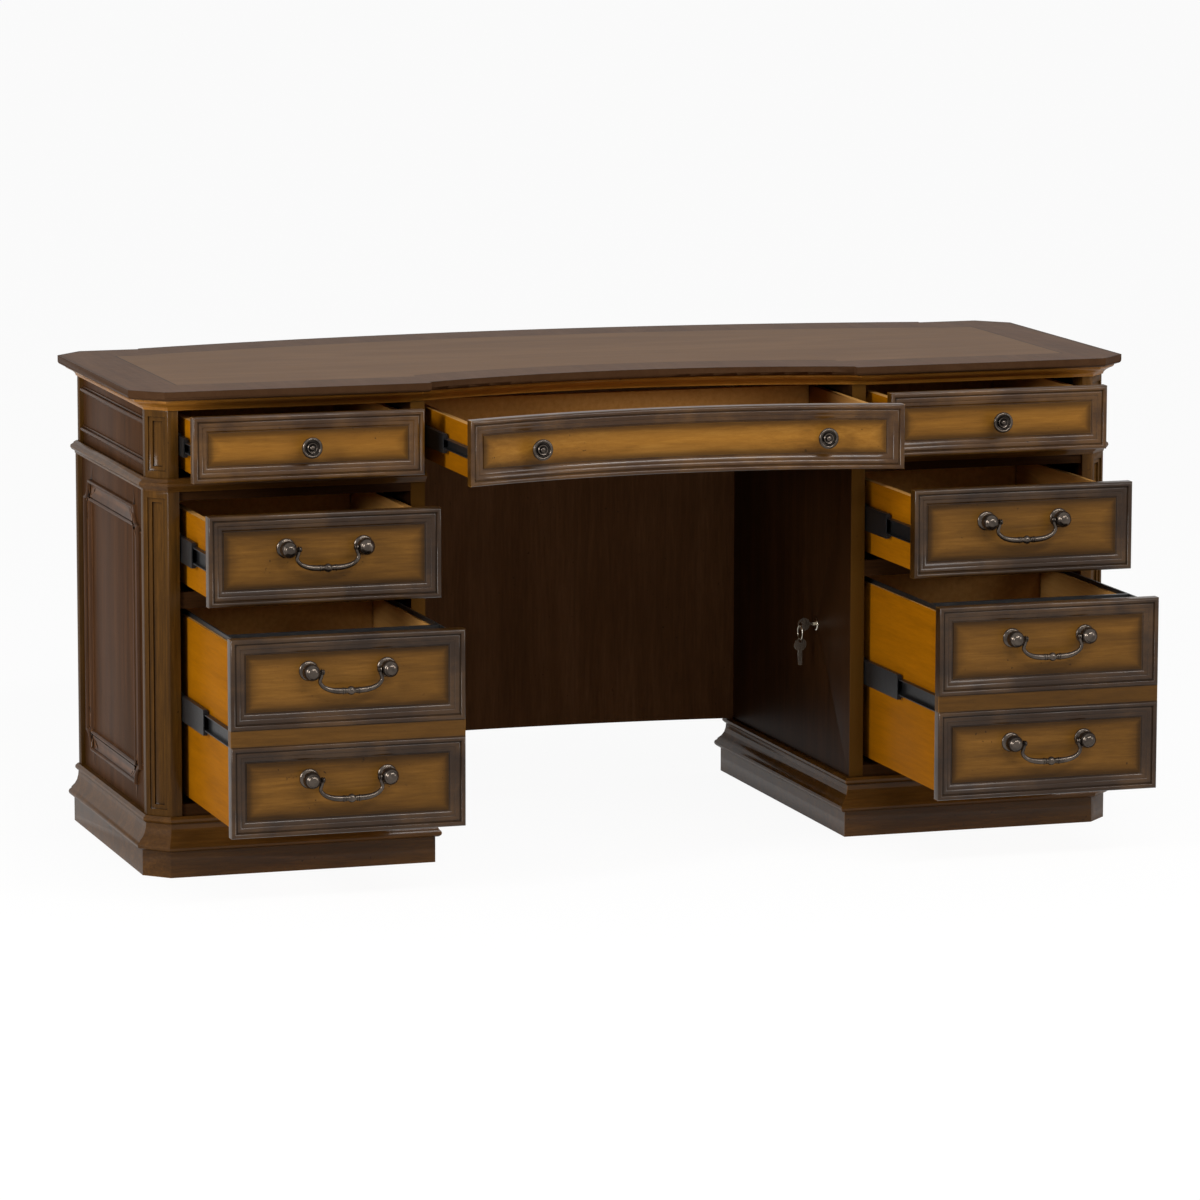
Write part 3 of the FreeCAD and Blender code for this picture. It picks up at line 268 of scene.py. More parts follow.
def wood(name, shades, grain, glaze=0.85, fleck=0.6, blotch=0.35, wear=0.7, polish=0.0, paint=None):
    """Stained wood, darkened in its own corners by glaze and painted shade, with its arrises rubbed thin
    and lightened as a painted highlight.
    """
    f = Finish(name)
    colour, fine, pores = grained(f, shades, grain, blotch)[:3]
    if paint:
        colour = paint(f, colour)
    # Glaze and painted shade: darker in this piece's own corners.
    glaze_and_shade = (1 - f.crevice(CREVICE_REACH)).between(0.05, 0.45) * glaze
    # Arrises lightened by wear and a painted highlight, then glaze, painted shade and flecks laid on.
    colour = glazed(f, rub_and_highlight(f, colour, shades, ARRIS_REACH, wear), glaze_and_shade, shades, fleck)
    f.shader.inputs["Specular IOR Level"].default_value = 0.01
    f.shader.inputs["Coat Roughness"].default_value = 0.16
    return f.set(base_color=colour, roughness=fine * 0.14 + glaze_and_shade * 0.12 + 0.34, coat_weight=polish,
                 normal=f.bump(fine * 0.4 + pores * 0.6, 0.12, 0.0006))


def front_wood(name, panels, shades, shift):
    """A drawer front: stained moulding with glaze and painted shade in its creases and rubbed arrises
    lightened as a painted highlight, round a field that is darker towards its rim with glaze and painted
    shade.
    """
    f = Finish(name)
    colour, fine, pores, clouds = grained(f, shades, "X", 0.25, shift=shift)
    outer = None
    for x0, x1, z0, z1 in panels:
        inside = (f.x - x0).least(x1 - f.x).least(f.z - z0).least(z1 - f.z)
        outer = inside if outer is None else outer.most(inside)
    ragged = (clouds - 0.5) * 0.012
    field = outer.between(FIELD - 0.0004, FIELD + 0.0004)
    # The field is lighter in its middle and darker towards its rim: glaze and painted shade.
    out_of_rim_shade = (outer + ragged).between(FIELD + 0.001, FIELD + 0.030)
    moulding = outer.between(-0.0010, -0.0004) * (1 - field)
    streaks = f.noise(7.0, 4.0, 0.6, 0.3, f.stretched((1.5, 1.0, 1.5), shift=shift))
    rubbed = streaks.between(0.40, 0.66)
    stain = f.mix(1.0, colour, RIM_STAIN, "MULTIPLY")
    colour = f.mix(out_of_rim_shade * 0.5 + 0.5, stain, colour)
    worn = f.mix(rubbed * 0.45, stain, colour)
    colour = f.mix(moulding, colour, worn)
    # A narrow dark band at the field's rim and in the creases: glaze and painted shade.
    edge = 1 - (outer + ragged * 0.4).between(FIELD + 0.001, FIELD + 0.011)
    crease_shade = (1 - f.crevice(FRONT_CREVICE)).between(0.10, 0.50)
    glaze_and_shade = (crease_shade * 0.9).most(edge * field * 0.6)
    # Arrises lightened by wear and a painted highlight.
    colour = glazed(f, rub_and_highlight(f, colour, shades, FRONT_ARRIS, 0.6), glaze_and_shade, shades, 0.8)
    f.shader.inputs["Specular IOR Level"].default_value = 0.12
    f.shader.inputs["Coat Roughness"].default_value = 0.14
    polish = moulding * (streaks * 0.5 + 0.15) * (1 - crease_shade)
    return f.set(base_color=colour, roughness=fine * 0.12 + 0.34, coat_weight=polish,
                 normal=f.bump(fine * 0.4 + pores * 0.6, 0.14, 0.0006))


def top_wood(name, shades, border):
    """Book-matched veneer in a darker crossbanded border, with a dark line between them."""
    f = Finish(name)
    hollow_arc, hollow_mid = HOLLOW
    bow_arc, bow_mid = BOW
    ax = f.x.size()
    inner = 1 - ax.between(HOLLOW_HALF - 0.0005, HOLLOW_HALF + 0.0005)
    bowed = 1 - ax.between(BOW_HALF - 0.0005, BOW_HALF + 0.0005)
    across = f.x * f.x
    to_hollow = (across + (f.y - hollow_mid) ** 2) ** 0.5 - hollow_arc
    to_bow = bow_arc - (across + (f.y - bow_mid) ** 2) ** 0.5
    front_way = to_hollow * inner + (f.y - (DATUM - HALF_DEPTH)) * (1 - inner)
    back_way = to_bow * bowed + (DATUM + HALF_DEPTH - f.y) * (1 - bowed)
    corner = (HALF_WIDTH + HALF_DEPTH - CLIP - ax - (f.y - DATUM).size()) * math.sqrt(0.5)
    edge = (HALF_WIDTH - ax).least(front_way).least(back_way).least(corner)
    matched = f.add("ShaderNodeCombineXYZ", {}, {0: ax * 1.6, 1: f.y * 9.0, 2: f.z})
    field, fine, pores = grained(f, shades, "X", 0.3, 1.2, at=matched)[:3]
    banded = grained(f, border, "Y", 0.3)[0]
    inlay = edge.between(BORDER - 0.0004, BORDER + 0.0004)
    line = inlay * (1 - edge.between(BORDER + 0.0022, BORDER + 0.0028))
    colour = f.mix(inlay, banded, field)
    colour = f.mix(line * 0.8, colour, tuple(c * 0.2 for c in border[0]))
    rim = 1 - edge.between(0.001, 0.010)
    colour = f.mix(rim * 0.6, colour, tuple(c * 0.4 for c in border[0]))
    f.shader.inputs["Specular IOR Level"].default_value = 0.012
    return f.set(base_color=colour, roughness=fine * 0.12 + 0.36,
                 normal=f.bump(fine * 0.4 + pores * 0.6, 0.07, 0.0005))


def metal(name, deep, worn, rough, wear=0.5, hammered=0.1, metallic=0.9):
    """Cast metal with dark hollows and rubbed high places."""
    f = Finish(name)
    cast = f.noise(240.0, 4.0, 0.6)
    patch = f.noise(60.0, 3.0, 0.6)
    hollow = 1 - f.crevice(0.004)
    share = (patch.between(0.35, 0.7) * wear + (1 - hollow) * 0.5) * (1 - hollow.between(0.1, 0.6))
    rough = rough + patch * 0.2 - share * 0.1
    return f.set(base_color=f.mix(share, deep, worn), metallic=metallic, roughness=rough,
                 normal=f.bump(cast, hammered, 0.0005))


def enamel(name, colour, rough, fleck):
    """Black lacquered steel with a little dust and rubbing."""
    f = Finish(name)
    dust = f.noise(90.0, 4.0, 0.65)
    dusted = f.mix(dust.between(0.55, 0.8) * 0.4, colour, fleck)
    return f.set(base_color=dusted, metallic=0.25, roughness=rough + dust * 0.2,
                 normal=f.bump(dust, 0.05, 0.0003))


# Modelling steps
def deselect():
    if bpy.context.mode != "OBJECT":
        bpy.ops.object.mode_set(mode="OBJECT")
    bpy.ops.object.select_all(action="DESELECT")


def pick(*objects):
    deselect()
    for item in objects:
        item.select_set(True)
    bpy.context.view_layer.objects.active = objects[0]


def edit(item):
    pick(item)
    bpy.ops.object.mode_set(mode="EDIT")
    bpy.ops.mesh.select_all(action="SELECT")


def done():
    bpy.ops.object.mode_set(mode="OBJECT")


def settle(item):
    """Puts an object's place into its mesh."""
    pick(item)
    bpy.ops.object.transform_apply(location=True, rotation=True, scale=True)
    return item


def modify(item, kind, **settings):
    modifier = item.modifiers.new(kind.title(), kind)
    for key, value in settings.items():
        setattr(modifier, key, value)
    pick(item)
    bpy.ops.object.modifier_apply(modifier=modifier.name)
    return item


def smooth(item, degrees):
    pick(item)
    bpy.ops.object.shade_smooth_by_angle(angle=math.radians(degrees))
    return item


def finish_piece(item, node, material):
    """Gives a piece its finish and lets it stand in for its CAD node, on the same body."""
    item.data.materials.clear()
    item.data.materials.append(material)
    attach(item, BODY_OF[node])
    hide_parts(node)
    return item


# Distance from the rim and depth, in millimetres: bead, quirk, hollow, ridge, slope and field
FRONT_STEPS = (
    (0.0, 3.6), (0.5, 2.0), (1.5, 0.8), (2.8, 0.15), (4.0, 0.0), (5.2, 0.15), (6.5, 0.9), (7.4, 2.2),
    (7.9, 3.8), (9.0, 3.9), (9.5, 3.2), (10.8, 2.8), (12.4, 3.0), (14.2, 3.7), (15.8, 4.4), (16.6, 5.4),
    (17.4, 5.2), (19.4, 5.7), (21.6, 6.6), (23.6, 7.8), (24.6, 9.0), (26.0, 9.0), (26.6, 8.0),
)
FIELD = FRONT_STEPS[-1][0] * MM
FRONT_THICK = 0.020
BAND_HALF = 0.0135
BOW_CUTS = 12
BOW_CUT_GAP = 0.027


def block(name, low, high):
    """A cube set to a box."""
    deselect()
    bpy.ops.mesh.primitive_cube_add(size=1, location=(low + high) / 2)
    item = bpy.context.active_object
    item.name = name
    item.scale = high - low
    return settle(item)


def pick_faces(item, test):
    """In edit mode, selects the faces for which the test on middle and normal holds."""
    bpy.ops.mesh.select_mode(type="FACE")
    bpy.ops.mesh.select_all(action="DESELECT")
    shape = bmesh.from_edit_mesh(item.data)
    for face in shape.faces:
        face.select_set(test(face.calc_center_median(), face.normal))
    bmesh.update_edit_mesh(item.data)


def stepped(steps):
    """Insets the picked faces by steps of distance from the rim and depth, in millimetres."""
    for (before, high), (after, low) in zip(steps, steps[1:]):
        bpy.ops.mesh.inset(thickness=(after - before) * MM, depth=(high - low) * MM, use_even_offset=True)


def cut_across(places, normal):
    """Cuts every face where a plane with that normal passes."""
    for place in places:
        bpy.ops.mesh.select_all(action="SELECT")
        bpy.ops.mesh.bisect(plane_co=place, plane_no=normal)


def drawer_front(node, material):
    """A drawer front with a bead, a hollow and a slope stepping down to its field."""
    low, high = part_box(node)
    bowed = node == "front_centre"
    item = block(node + "_finished", Vector((low.x, low.y + FRONT_STEPS[0][1] * MM, low.z)),
                 Vector((high.x, low.y + FRONT_THICK, high.z)))
    edit(item)
    panels = [(low.z, high.z)]
    if "file" in node:
        middle = (low.z + high.z) / 2
        panels = [(low.z, middle - BAND_HALF), (middle + BAND_HALF, high.z)]
        cut_across([(0, 0, middle - BAND_HALF), (0, 0, middle + BAND_HALF)], (0, 0, 1))
    for bottom, top in panels:
        pick_faces(item, lambda at, normal: normal.y < -0.9 and bottom < at.z < top)
        stepped(FRONT_STEPS)
    if bowed:
        cut_across([(cut * BOW_CUT_GAP, 0, 0) for cut in range(-BOW_CUTS, BOW_CUTS + 1)], (1, 0, 0))
    done()
    if bowed:
        radius = HOLLOW[0]
        end = math.sqrt(radius ** 2 - high.x ** 2)
        for point in item.data.vertices:
            point.co.y += math.sqrt(radius ** 2 - point.co.x ** 2) - end
    return finish_piece(smooth(item, 42), node, material)


def turned(name, steps, centre, way, sides):
    """A lathe piece: steps of (radius, height) in millimetres along a way from a centre."""
    deselect()
    bpy.ops.mesh.primitive_circle_add(vertices=sides, radius=steps[0][0] * MM, fill_type="NGON")
    item = bpy.context.active_object
    item.name = name
    bpy.ops.object.mode_set(mode="EDIT")
    for (before, low), (radius, high) in zip(steps, steps[1:]):
        bpy.ops.mesh.extrude_region_move(TRANSFORM_OT_translate={"value": (0, 0, (high - low) * MM)})
        size = radius / before
        bpy.ops.transform.resize(value=(size, size, 1), center_override=(0, 0, (high - steps[0][1]) * MM))
    bpy.ops.mesh.select_all(action="SELECT")
    bpy.ops.mesh.normals_make_consistent(inside=False)
    done()
    item.rotation_euler = Vector(way).to_track_quat("Z", "Y").to_euler()
    item.location = Vector(centre) + Vector(way) * steps[0][1] * MM
    return settle(item)


def joined(name, *items):
    pick(*items)
    bpy.ops.object.join()
    item = bpy.context.active_object
    item.name = name
    return item


def rod(name, points, centre):
    """A bent rod whose thickness changes: points of (x, z, radius) in millimetres from a centre."""
    curve = bpy.data.curves.new(name, "CURVE")
    curve.dimensions = "3D"
    curve.bevel_depth = MM
    curve.bevel_resolution = 3
    curve.use_fill_caps = True
    spline = curve.splines.new("NURBS")
    spline.points.add(len(points) - 1)
    for point, (x, z, radius) in zip(spline.points, points):
        point.co = (centre[0] + x * MM, centre[1], centre[2] + z * MM, 1)
        point.radius = radius
    spline.order_u = 3
    spline.use_endpoint_u = True
    spline.resolution_u = 5
    item = bpy.data.objects.new(name, curve)
    bpy.context.scene.collection.objects.link(item)
    pick(item)
    bpy.ops.object.convert(target="MESH")
    return bpy.context.active_object


# Half a bail, from its pin to its middle: (x, z, radius) in millimetres from the pins' line
BAIL_ARM = (
    (47.9, 0, 2.7), (47.3, -2, 3.0), (47.6, -6, 3.1), (49.6, -11, 3.0), (50.4, -15, 3.0),
    (48.6, -19.5, 3.2), (43.5, -24.5, 3.6), (36, -28, 4.1), (27, -30.2, 4.6), (17, -31, 4.9),
    (10, -31, 4.4), (4, -31, 4.0),
)
# Turned pieces: (radius, height) in millimetres
BAIL_BEAD = (
    (3.8, -19.5), (4.5, -18.5), (4.6, -15), (3.6, -14.2), (5.4, -13.6), (5.6, -12.8), (5.4, -12),
    (3.6, -11.4), (3.6, -10.2), (5.1, -9.6), (5.1, -8.6), (3.6, -8), (3.7, -6.6), (5.4, -4.6),
    (6.7, -2), (7.0, 0), (6.7, 2), (5.4, 4.6), (3.7, 6.6), (3.6, 8), (5.1, 8.6), (5.1, 9.6),
    (3.6, 10.2), (3.6, 11.4), (5.4, 12), (5.6, 12.8), (5.4, 13.6), (3.6, 14.2), (4.6, 15), (4.5, 18.5),
    (3.8, 19.5),
)
BAIL_COLLAR = (
    (3.0, 0), (4.6, 0.3), (5.2, 1.2), (4.6, 2.1), (3.4, 2.5), (3.3, 3.4), (4.3, 3.9), (4.6, 4.8),
    (3.4, 6.0), (1.2, 6.6),
)
POST_HEAD = (
    (15.5, 0), (15.8, 1.0), (15.2, 2.2), (13.2, 3.2), (10.4, 3.8), (8.8, 5.0), (8.8, 6.4), (10.6, 7.8),
    (12.6, 9.6), (13.4, 12.6), (13.5, 15.2), (13.5, 19.5), (13.1, 22.6), (12.0, 25.4), (10.3, 28.0),
    (9.6, 28.4), (9.2, 29.6), (7.4, 31.2), (5.0, 32.3), (2.6, 32.9), (0.5, 33.0),
)
KNOB_HEAD = (
    (9.0, 0), (9.0, 1.5), (6.5, 3.0), (5.6, 6.0), (6.2, 10.0), (9.0, 12.4), (13.6, 14.0), (16.4, 15.4),
    (17.0, 17.4), (16.4, 19.4), (14.9, 20.5), (13.2, 20.3), (11.9, 19.2), (11.3, 17.9), (10.1, 17.6),
    (9.3, 18.4), (8.8, 20.0), (7.6, 20.9), (6.4, 20.4), (5.7, 19.4), (4.9, 19.3), (4.4, 20.6),
    (3.2, 21.8), (1.6, 22.4), (0.4, 22.5),
)
PIN_DROP = 5.2 * MM
BEAD_DROP = 31 * MM
COLLAR_OUT = 48.9 * MM


def bail_pull(node, material):
    """A swinging bail with a beaded middle, and a ringed end at each post."""
    low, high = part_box(node)
    x, y = (low.x + high.x) / 2, (low.y + high.y) / 2
    z = high.z - PIN_DROP
    arm = [*BAIL_ARM, *[(-across, up, radius) for across, up, radius in reversed(BAIL_ARM)]]
    parts = [rod(node + "_finished", arm, (x, y, z)),
             turned("bead", BAIL_BEAD, (x, y, z - BEAD_DROP), (1, 0, 0), 24)]
    for way in (-1, 1):
        parts.append(turned("collar", BAIL_COLLAR, (x + way * COLLAR_OUT, y, z), (-way, 0, 0), 20))
    return finish_piece(smooth(joined(node + "_finished", *parts), 50), node, material)


def heads(node, steps, material):
    """Turned heads in place of each solid of a node, each reaching as far out as its solid."""
    reach = steps[-1][1] * MM
    parts = []
    for low, high in islands(node):
        centre = (low + high) / 2
        base = (centre.x, low.y + reach, centre.z)
        parts.append(turned(node + "_finished", steps, base, (0, -1, 0), 36))
    return finish_piece(smooth(joined(node + "_finished", *parts), 50), node, material)


def islands(node):
    """Lowest and highest corner of each separate solid of a node."""
    shape = bmesh.new()
    shape.from_mesh(NODES[node].data)
    bmesh.ops.remove_doubles(shape, verts=shape.verts, dist=SAME_POINT)
    left = set(shape.verts)
    found = []
    while left:
        group, edge = set(), [next(iter(left))]
        while edge:
            point = edge.pop()
            if point not in group:
                group.add(point)
                edge.extend(link.other_vert(point) for link in point.link_edges)
        left -= group
        xs, ys, zs = zip(*[point.co for point in group])
        found.append((Vector((min(xs), min(ys), min(zs))), Vector((max(xs), max(ys), max(zs)))))
    shape.free()
    return sorted(found, key=lambda place: (round(place[0].x, 4), round(place[0].z, 4)))


# Distance from the frame's outer rim and height, in millimetres
SIDE_STEPS = (
    (0.0, 0.0), (0.2, 3.6), (1.2, 5.8), (2.6, 6.8), (4.2, 6.9), (5.8, 6.0), (6.8, 4.4), (7.4, 2.6),
    (10.0, 1.8), (16.0, 1.6), (22.0, 2.2), (26.0, 3.2), (28.2, 3.6), (28.8, 2.6), (29.6, 2.6),
    (30.2, 4.2), (31.6, 5.4), (33.4, 5.6), (35.2, 4.6), (36.2, 2.8), (37.0, 0.0),
)
SCOOP = 0.030
SCOOP_POINTS = 8
UPPER_CASE = 0.5
BAR_ENDS = Vector((0, 0.0155, 0))


def scooped_frame(name, low, high):
    """A frame with hollowed corners on a side panel, shaped by insets from its outline."""
    way = 1 if high.x > 0 else -1
    ground = low.x if way > 0 else high.x
    corners = ((low.y, low.z, 90), (high.y, low.z, 180), (high.y, high.z, 270), (low.y, high.z, 0))
    outline = []
    for y, z, start in corners:
        for step in range(SCOOP_POINTS + 1):
            turn = math.radians(start - step * 90 / SCOOP_POINTS)
            outline.append((y + SCOOP * math.cos(turn), z + SCOOP * math.sin(turn)))
    if way < 0:
        outline.reverse()
    deselect()
    bpy.ops.mesh.primitive_circle_add(vertices=len(outline), radius=0.1, fill_type="NGON")
    item = bpy.context.active_object
    item.name = name
    for point, (y, z) in zip(item.data.vertices, outline):
        point.co = (ground, y, z)
    edit(item)
    stepped([(inset, -height) for inset, height in SIDE_STEPS])
    bpy.ops.mesh.delete(type="ONLY_FACE")
    bpy.ops.mesh.select_mode(type="EDGE")
    bpy.ops.mesh.select_non_manifold(extend=False)
    bpy.ops.mesh.bridge_edge_loops()
    done()
    return item


# Bead and fillet of the upper case's side: reach, bottom and top in metres, then the rounding
BEAD_PARTS = ((0.0068, 0.003, 0.0095, 0.0030, 5), (0.0025, 0, 0.013, 0.0015, 3))


def bead_bar(name, low, high, ground, way):
    """A straight bead on a fillet, along the side of the upper case."""
    bars = []
    for out, bottom, top, ease, rounds in BEAD_PARTS:
        near, far = sorted((ground, ground + way * out))
        bar = block(name, Vector((near, low.y, low.z + bottom)), Vector((far, high.y, low.z + top)))
        bars.append(modify(bar, "BEVEL", width=ease, segments=rounds, limit_method="ANGLE"))
    return joined(name, *bars)


def side_mouldings(material):
    """Framed panels below with hollowed corners, and beads along the upper case."""
    parts = []
    node = "side_panel_mouldings"
    for low, high in islands(node):
        if low.z < UPPER_CASE:
            parts.append(scooped_frame("side_frame", low, high))
            continue
        way = 1 if high.x > 0 else -1
        ground = low.x if way > 0 else high.x
        for z in (low.z - 0.001, high.z - 0.012):
            lift = Vector((0, 0, z))
            front = Vector((0, low.y, 0)) - BAR_ENDS + lift
            back = Vector((0, high.y, 0)) + BAR_ENDS + lift
            parts.append(bead_bar("side_bead", front, back, ground, way))
    return finish_piece(smooth(joined(node + "_finished", *parts), 40), node, material)


def carved(node, material, ease=0.0):
    """A CAD node's shape with its corners merged and its arrises eased, standing in for the node."""
    pick(NODES[node])
    bpy.ops.object.duplicate()
    item = bpy.context.active_object
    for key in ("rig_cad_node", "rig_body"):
        if key in item:
            del item[key]
    item.parent = None
    item.matrix_world = Matrix.Identity(4)
    item.name = node + "_finished"
    edit(item)
    bpy.ops.mesh.remove_doubles(threshold=SAME_POINT)
    bpy.ops.mesh.dissolve_limited(angle_limit=math.radians(0.2))
    done()
    if ease:
        modify(item, "BEVEL", width=ease, segments=2, limit_method="ANGLE", angle_limit=math.radians(30))
    return finish_piece(smooth(item, 28), node, material)


# Sizes and colours that a user would change
class DeskStage(bpy.types.PropertyGroup):
    """Floor, lamps and camera."""

    lens: FloatProperty(name="Lens", description="Focal length in millimetres", default=181.69)
    lamp_power: FloatProperty(name="Lamp power", description="Main lamp", default=118.0, unit="POWER")
    floor_colour: FloatVectorProperty(name="Floor", description="Colour of floor and backdrop", size=3,
                                      subtype="COLOR", default=(0.95, 0.95, 0.95))


def shade(name, words, red, green, blue):
    """One colour that a user can change."""
    colour = tone(red, green, blue)
    return FloatVectorProperty(name=name, description=words, subtype="COLOR", size=3, default=colour)


class DeskWood(bpy.types.PropertyGroup):
    """Tones of the finish."""

    # The light tones also set the painted highlight along the arrises, at one and a half times their value.
    front_dark: shade("Top front, dark", "Grain of the top drawer fronts", 92, 58, 14)
    front_middle: shade("Top front, middle", "Tone of the top drawer fronts", 126, 84, 26)
    front_light: shade("Top front, light", "Rubbed middle of the top drawer fronts", 150, 106, 42)
    file_dark: shade("Lower front, dark", "Grain of the middle and file drawer fronts", 66, 42, 11)
    file_middle: shade("Lower front, middle", "Tone of the middle and file drawer fronts", 94, 62, 18)
    file_light: shade("Lower front, light", "Rubbed places of the middle and file fronts", 118, 80, 30)
    moulding_dark: shade("Moulding, dark", "Grain of the mouldings", 46, 28, 8)
    moulding_middle: shade("Moulding, middle", "Tone of the mouldings", 70, 44, 15)
    moulding_light: shade("Moulding, light", "Rubbed places of the mouldings", 98, 64, 24)
    case_dark: shade("Case, dark", "Grain of the case", 42, 26, 12)
    case_middle: shade("Case, middle", "Tone of the case", 64, 40, 22)
    case_light: shade("Case, light", "Lightest tone of the case", 84, 55, 32)
    post_dark: shade("Post, dark", "Grain of the posts", 40, 24, 6)
    post_middle: shade("Post, middle", "Tone of the posts", 66, 42, 12)
    post_light: shade("Post, light", "Lightest tone of the posts", 92, 60, 20)
    # Kneehole tones: a darker copy of the case wood, painted shade for the boards inside the kneehole and
    # the pedestals.
    deep_dark: shade("Kneehole, dark", "Grain inside the kneehole", 26, 13, 4)
    deep_middle: shade("Kneehole, middle", "Tone inside the kneehole", 42, 24, 10)
    deep_light: shade("Kneehole, light", "Lightest tone inside the kneehole", 58, 36, 18)
    veneer_dark: shade("Top, dark", "Grain of the veneer", 86, 60, 38)
    veneer_middle: shade("Top, middle", "Tone of the veneer", 102, 74, 48)
    veneer_light: shade("Top, light", "Lightest tone of the veneer", 118, 88, 60)
    border_dark: shade("Border, dark", "Grain of the top's border", 66, 44, 28)
    border_middle: shade("Border, middle", "Tone of the top's border", 82, 56, 36)
    border_light: shade("Border, light", "Lightest tone of the top's border", 96, 68, 46)
    cornice_dark: shade("Cornice, dark", "Grain of the moulding under the top", 94, 58, 16)
    cornice_middle: shade("Cornice, middle", "Tone of the moulding under the top", 130, 84, 28)
    cornice_light: shade("Cornice, light", "Rubbed places of the moulding under the top", 156, 108, 48)
    modesty_dark: shade("Modesty panel, dark", "Grain of the modesty panel", 62, 38, 20)
    modesty_middle: shade("Modesty panel, middle", "Tone of the modesty panel", 80, 52, 30)
    modesty_light: shade("Modesty panel, light", "Lightest tone of the modesty panel", 96, 66, 42)
    lining_dark: shade("Lining, dark", "Grain inside the drawers", 146, 102, 50)
    lining_light: shade("Lining, light", "Lightest tone inside the drawers", 196, 148, 84)
    box_dark: shade("Drawer sides, dark", "Grain of the drawer boxes", 114, 67, 3)
    box_middle: shade("Drawer sides, middle", "Tone of the drawer boxes", 134, 81, 4)
    box_light: shade("Drawer sides, light", "Lightest tone of the drawer boxes", 150, 93, 7)


class DeskMetal(bpy.types.PropertyGroup):
    """Tones of the hardware."""

    pewter_deep: shade("Pewter, deep", "Hollows of the pulls", 22, 19, 17)
    pewter_worn: shade("Pewter, worn", "Rubbed places of the pulls", 84, 75, 67)
    nickel_deep: shade("Nickel, deep", "Hollows of the keys", 120, 112, 96)
    nickel_worn: shade("Nickel, worn", "Rubbed places of the keys", 205, 198, 184)
    slide_black: shade("Slides", "Coated steel of the slides", 20, 20, 21)


FINISH = {}
EASE = 0.8 * MM
BOX_EASE = 0.6 * MM


def tones(family, shades=("dark", "middle", "light")):
    """The tones of one family, as linear colours."""
    return [tuple(getattr(bpy.context.scene.desk_wood, f"{family}_{shade}")) for shade in shades]


def finish(name, make):
    """The finish of that name, made when it is first asked for."""
    if name not in FINISH:
        FINISH[name] = make(name)
    return FINISH[name]


def stained(family, grain="Z", **looks):
    """Stained wood of one family of tones, with the grain along one axis."""
    return finish(family + "_" + grain.lower(), lambda name: wood(name, tones(family), grain, **looks))


def faced(front):
    """Amber front edges, in the posts' tone, on a board that is dark elsewhere with painted shade."""
    amber = tones("post")[1]
    return lambda f, colour: f.mix(1 - f.y.between(front, front + 0.0004), colour, amber)


def box_finish(node):
    """Orange lacquer outside a drawer, and plain pale wood inside and on top of it."""
    low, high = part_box(node)
    dark, light = tones("lining", ("dark", "light"))

    def lined(f, colour):
        out = (f.x - low.x).least(high.x - f.x)
        inner = out.between(0.0006, 0.0010)
        streak = f.noise(8.0, 4.0, 0.6, 0.2, f.stretched((14, 1, 14)))
        pale = f.mix(streak, dark, light)
        return f.mix(inner, colour, pale)

    looks = {"glaze": 0.3, "fleck": 0.1, "blotch": 0.2, "wear": 0.2, "paint": lined}
    return finish(node + "_wood", lambda name: wood(name, tones("box"), "Y", **looks))


def front_finish(node):
    """The finish of one drawer front, with its own stretch of grain."""
    low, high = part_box(node)
    middle = (low.z + high.z) / 2
    panels = [(low.x, high.x, low.z, high.z)]
    if "file" in node:
        panels = [(low.x, high.x, middle + BAND_HALF, high.z), (low.x, high.x, low.z, middle - BAND_HALF)]
    family = "file" if "file" in node or "mid" in node else "front"
    shift = (0.37 * len(FINISH), 0.11 * len(FINISH), 0.53 * len(FINISH))
    return finish(node + "_wood", lambda name: front_wood(name, panels, tones(family), shift))


# Name, place, width, depth and share of the main lamp's power
LAMPS = (
    ("front", (0.7, -3.4, 3.3), 3.6, 0.5, 1.1),
    ("left", (-4.6, -2.2, 1.9), 1.0, 1.8, 1.5),
    ("right", (4.2, -4.4, 2.2), 1.2, 1.8, 0.5),
)
LAMPS_AIM = Vector((0, 0, 0.4))
CAMERA_PLACE = (-3.0567, -9.4422, 1.9488)
CAMERA_TILT = 8.919
CAMERA_TURN = 17.814
CAMERA_ROLL = 0.089
PAPER_GLOW = 0.93
SKY_LIGHT = 0.36


def seen_rays(f):
    """1 for the rays that see the background: from the camera, off gloss and through glass."""
    rays = f.add("ShaderNodeLightPath", out="Is Camera Ray")
    for kind in ("Is Glossy Ray", "Is Transmission Ray"):
        rays = rays.most(f.add("ShaderNodeLightPath", out=kind))
    return rays


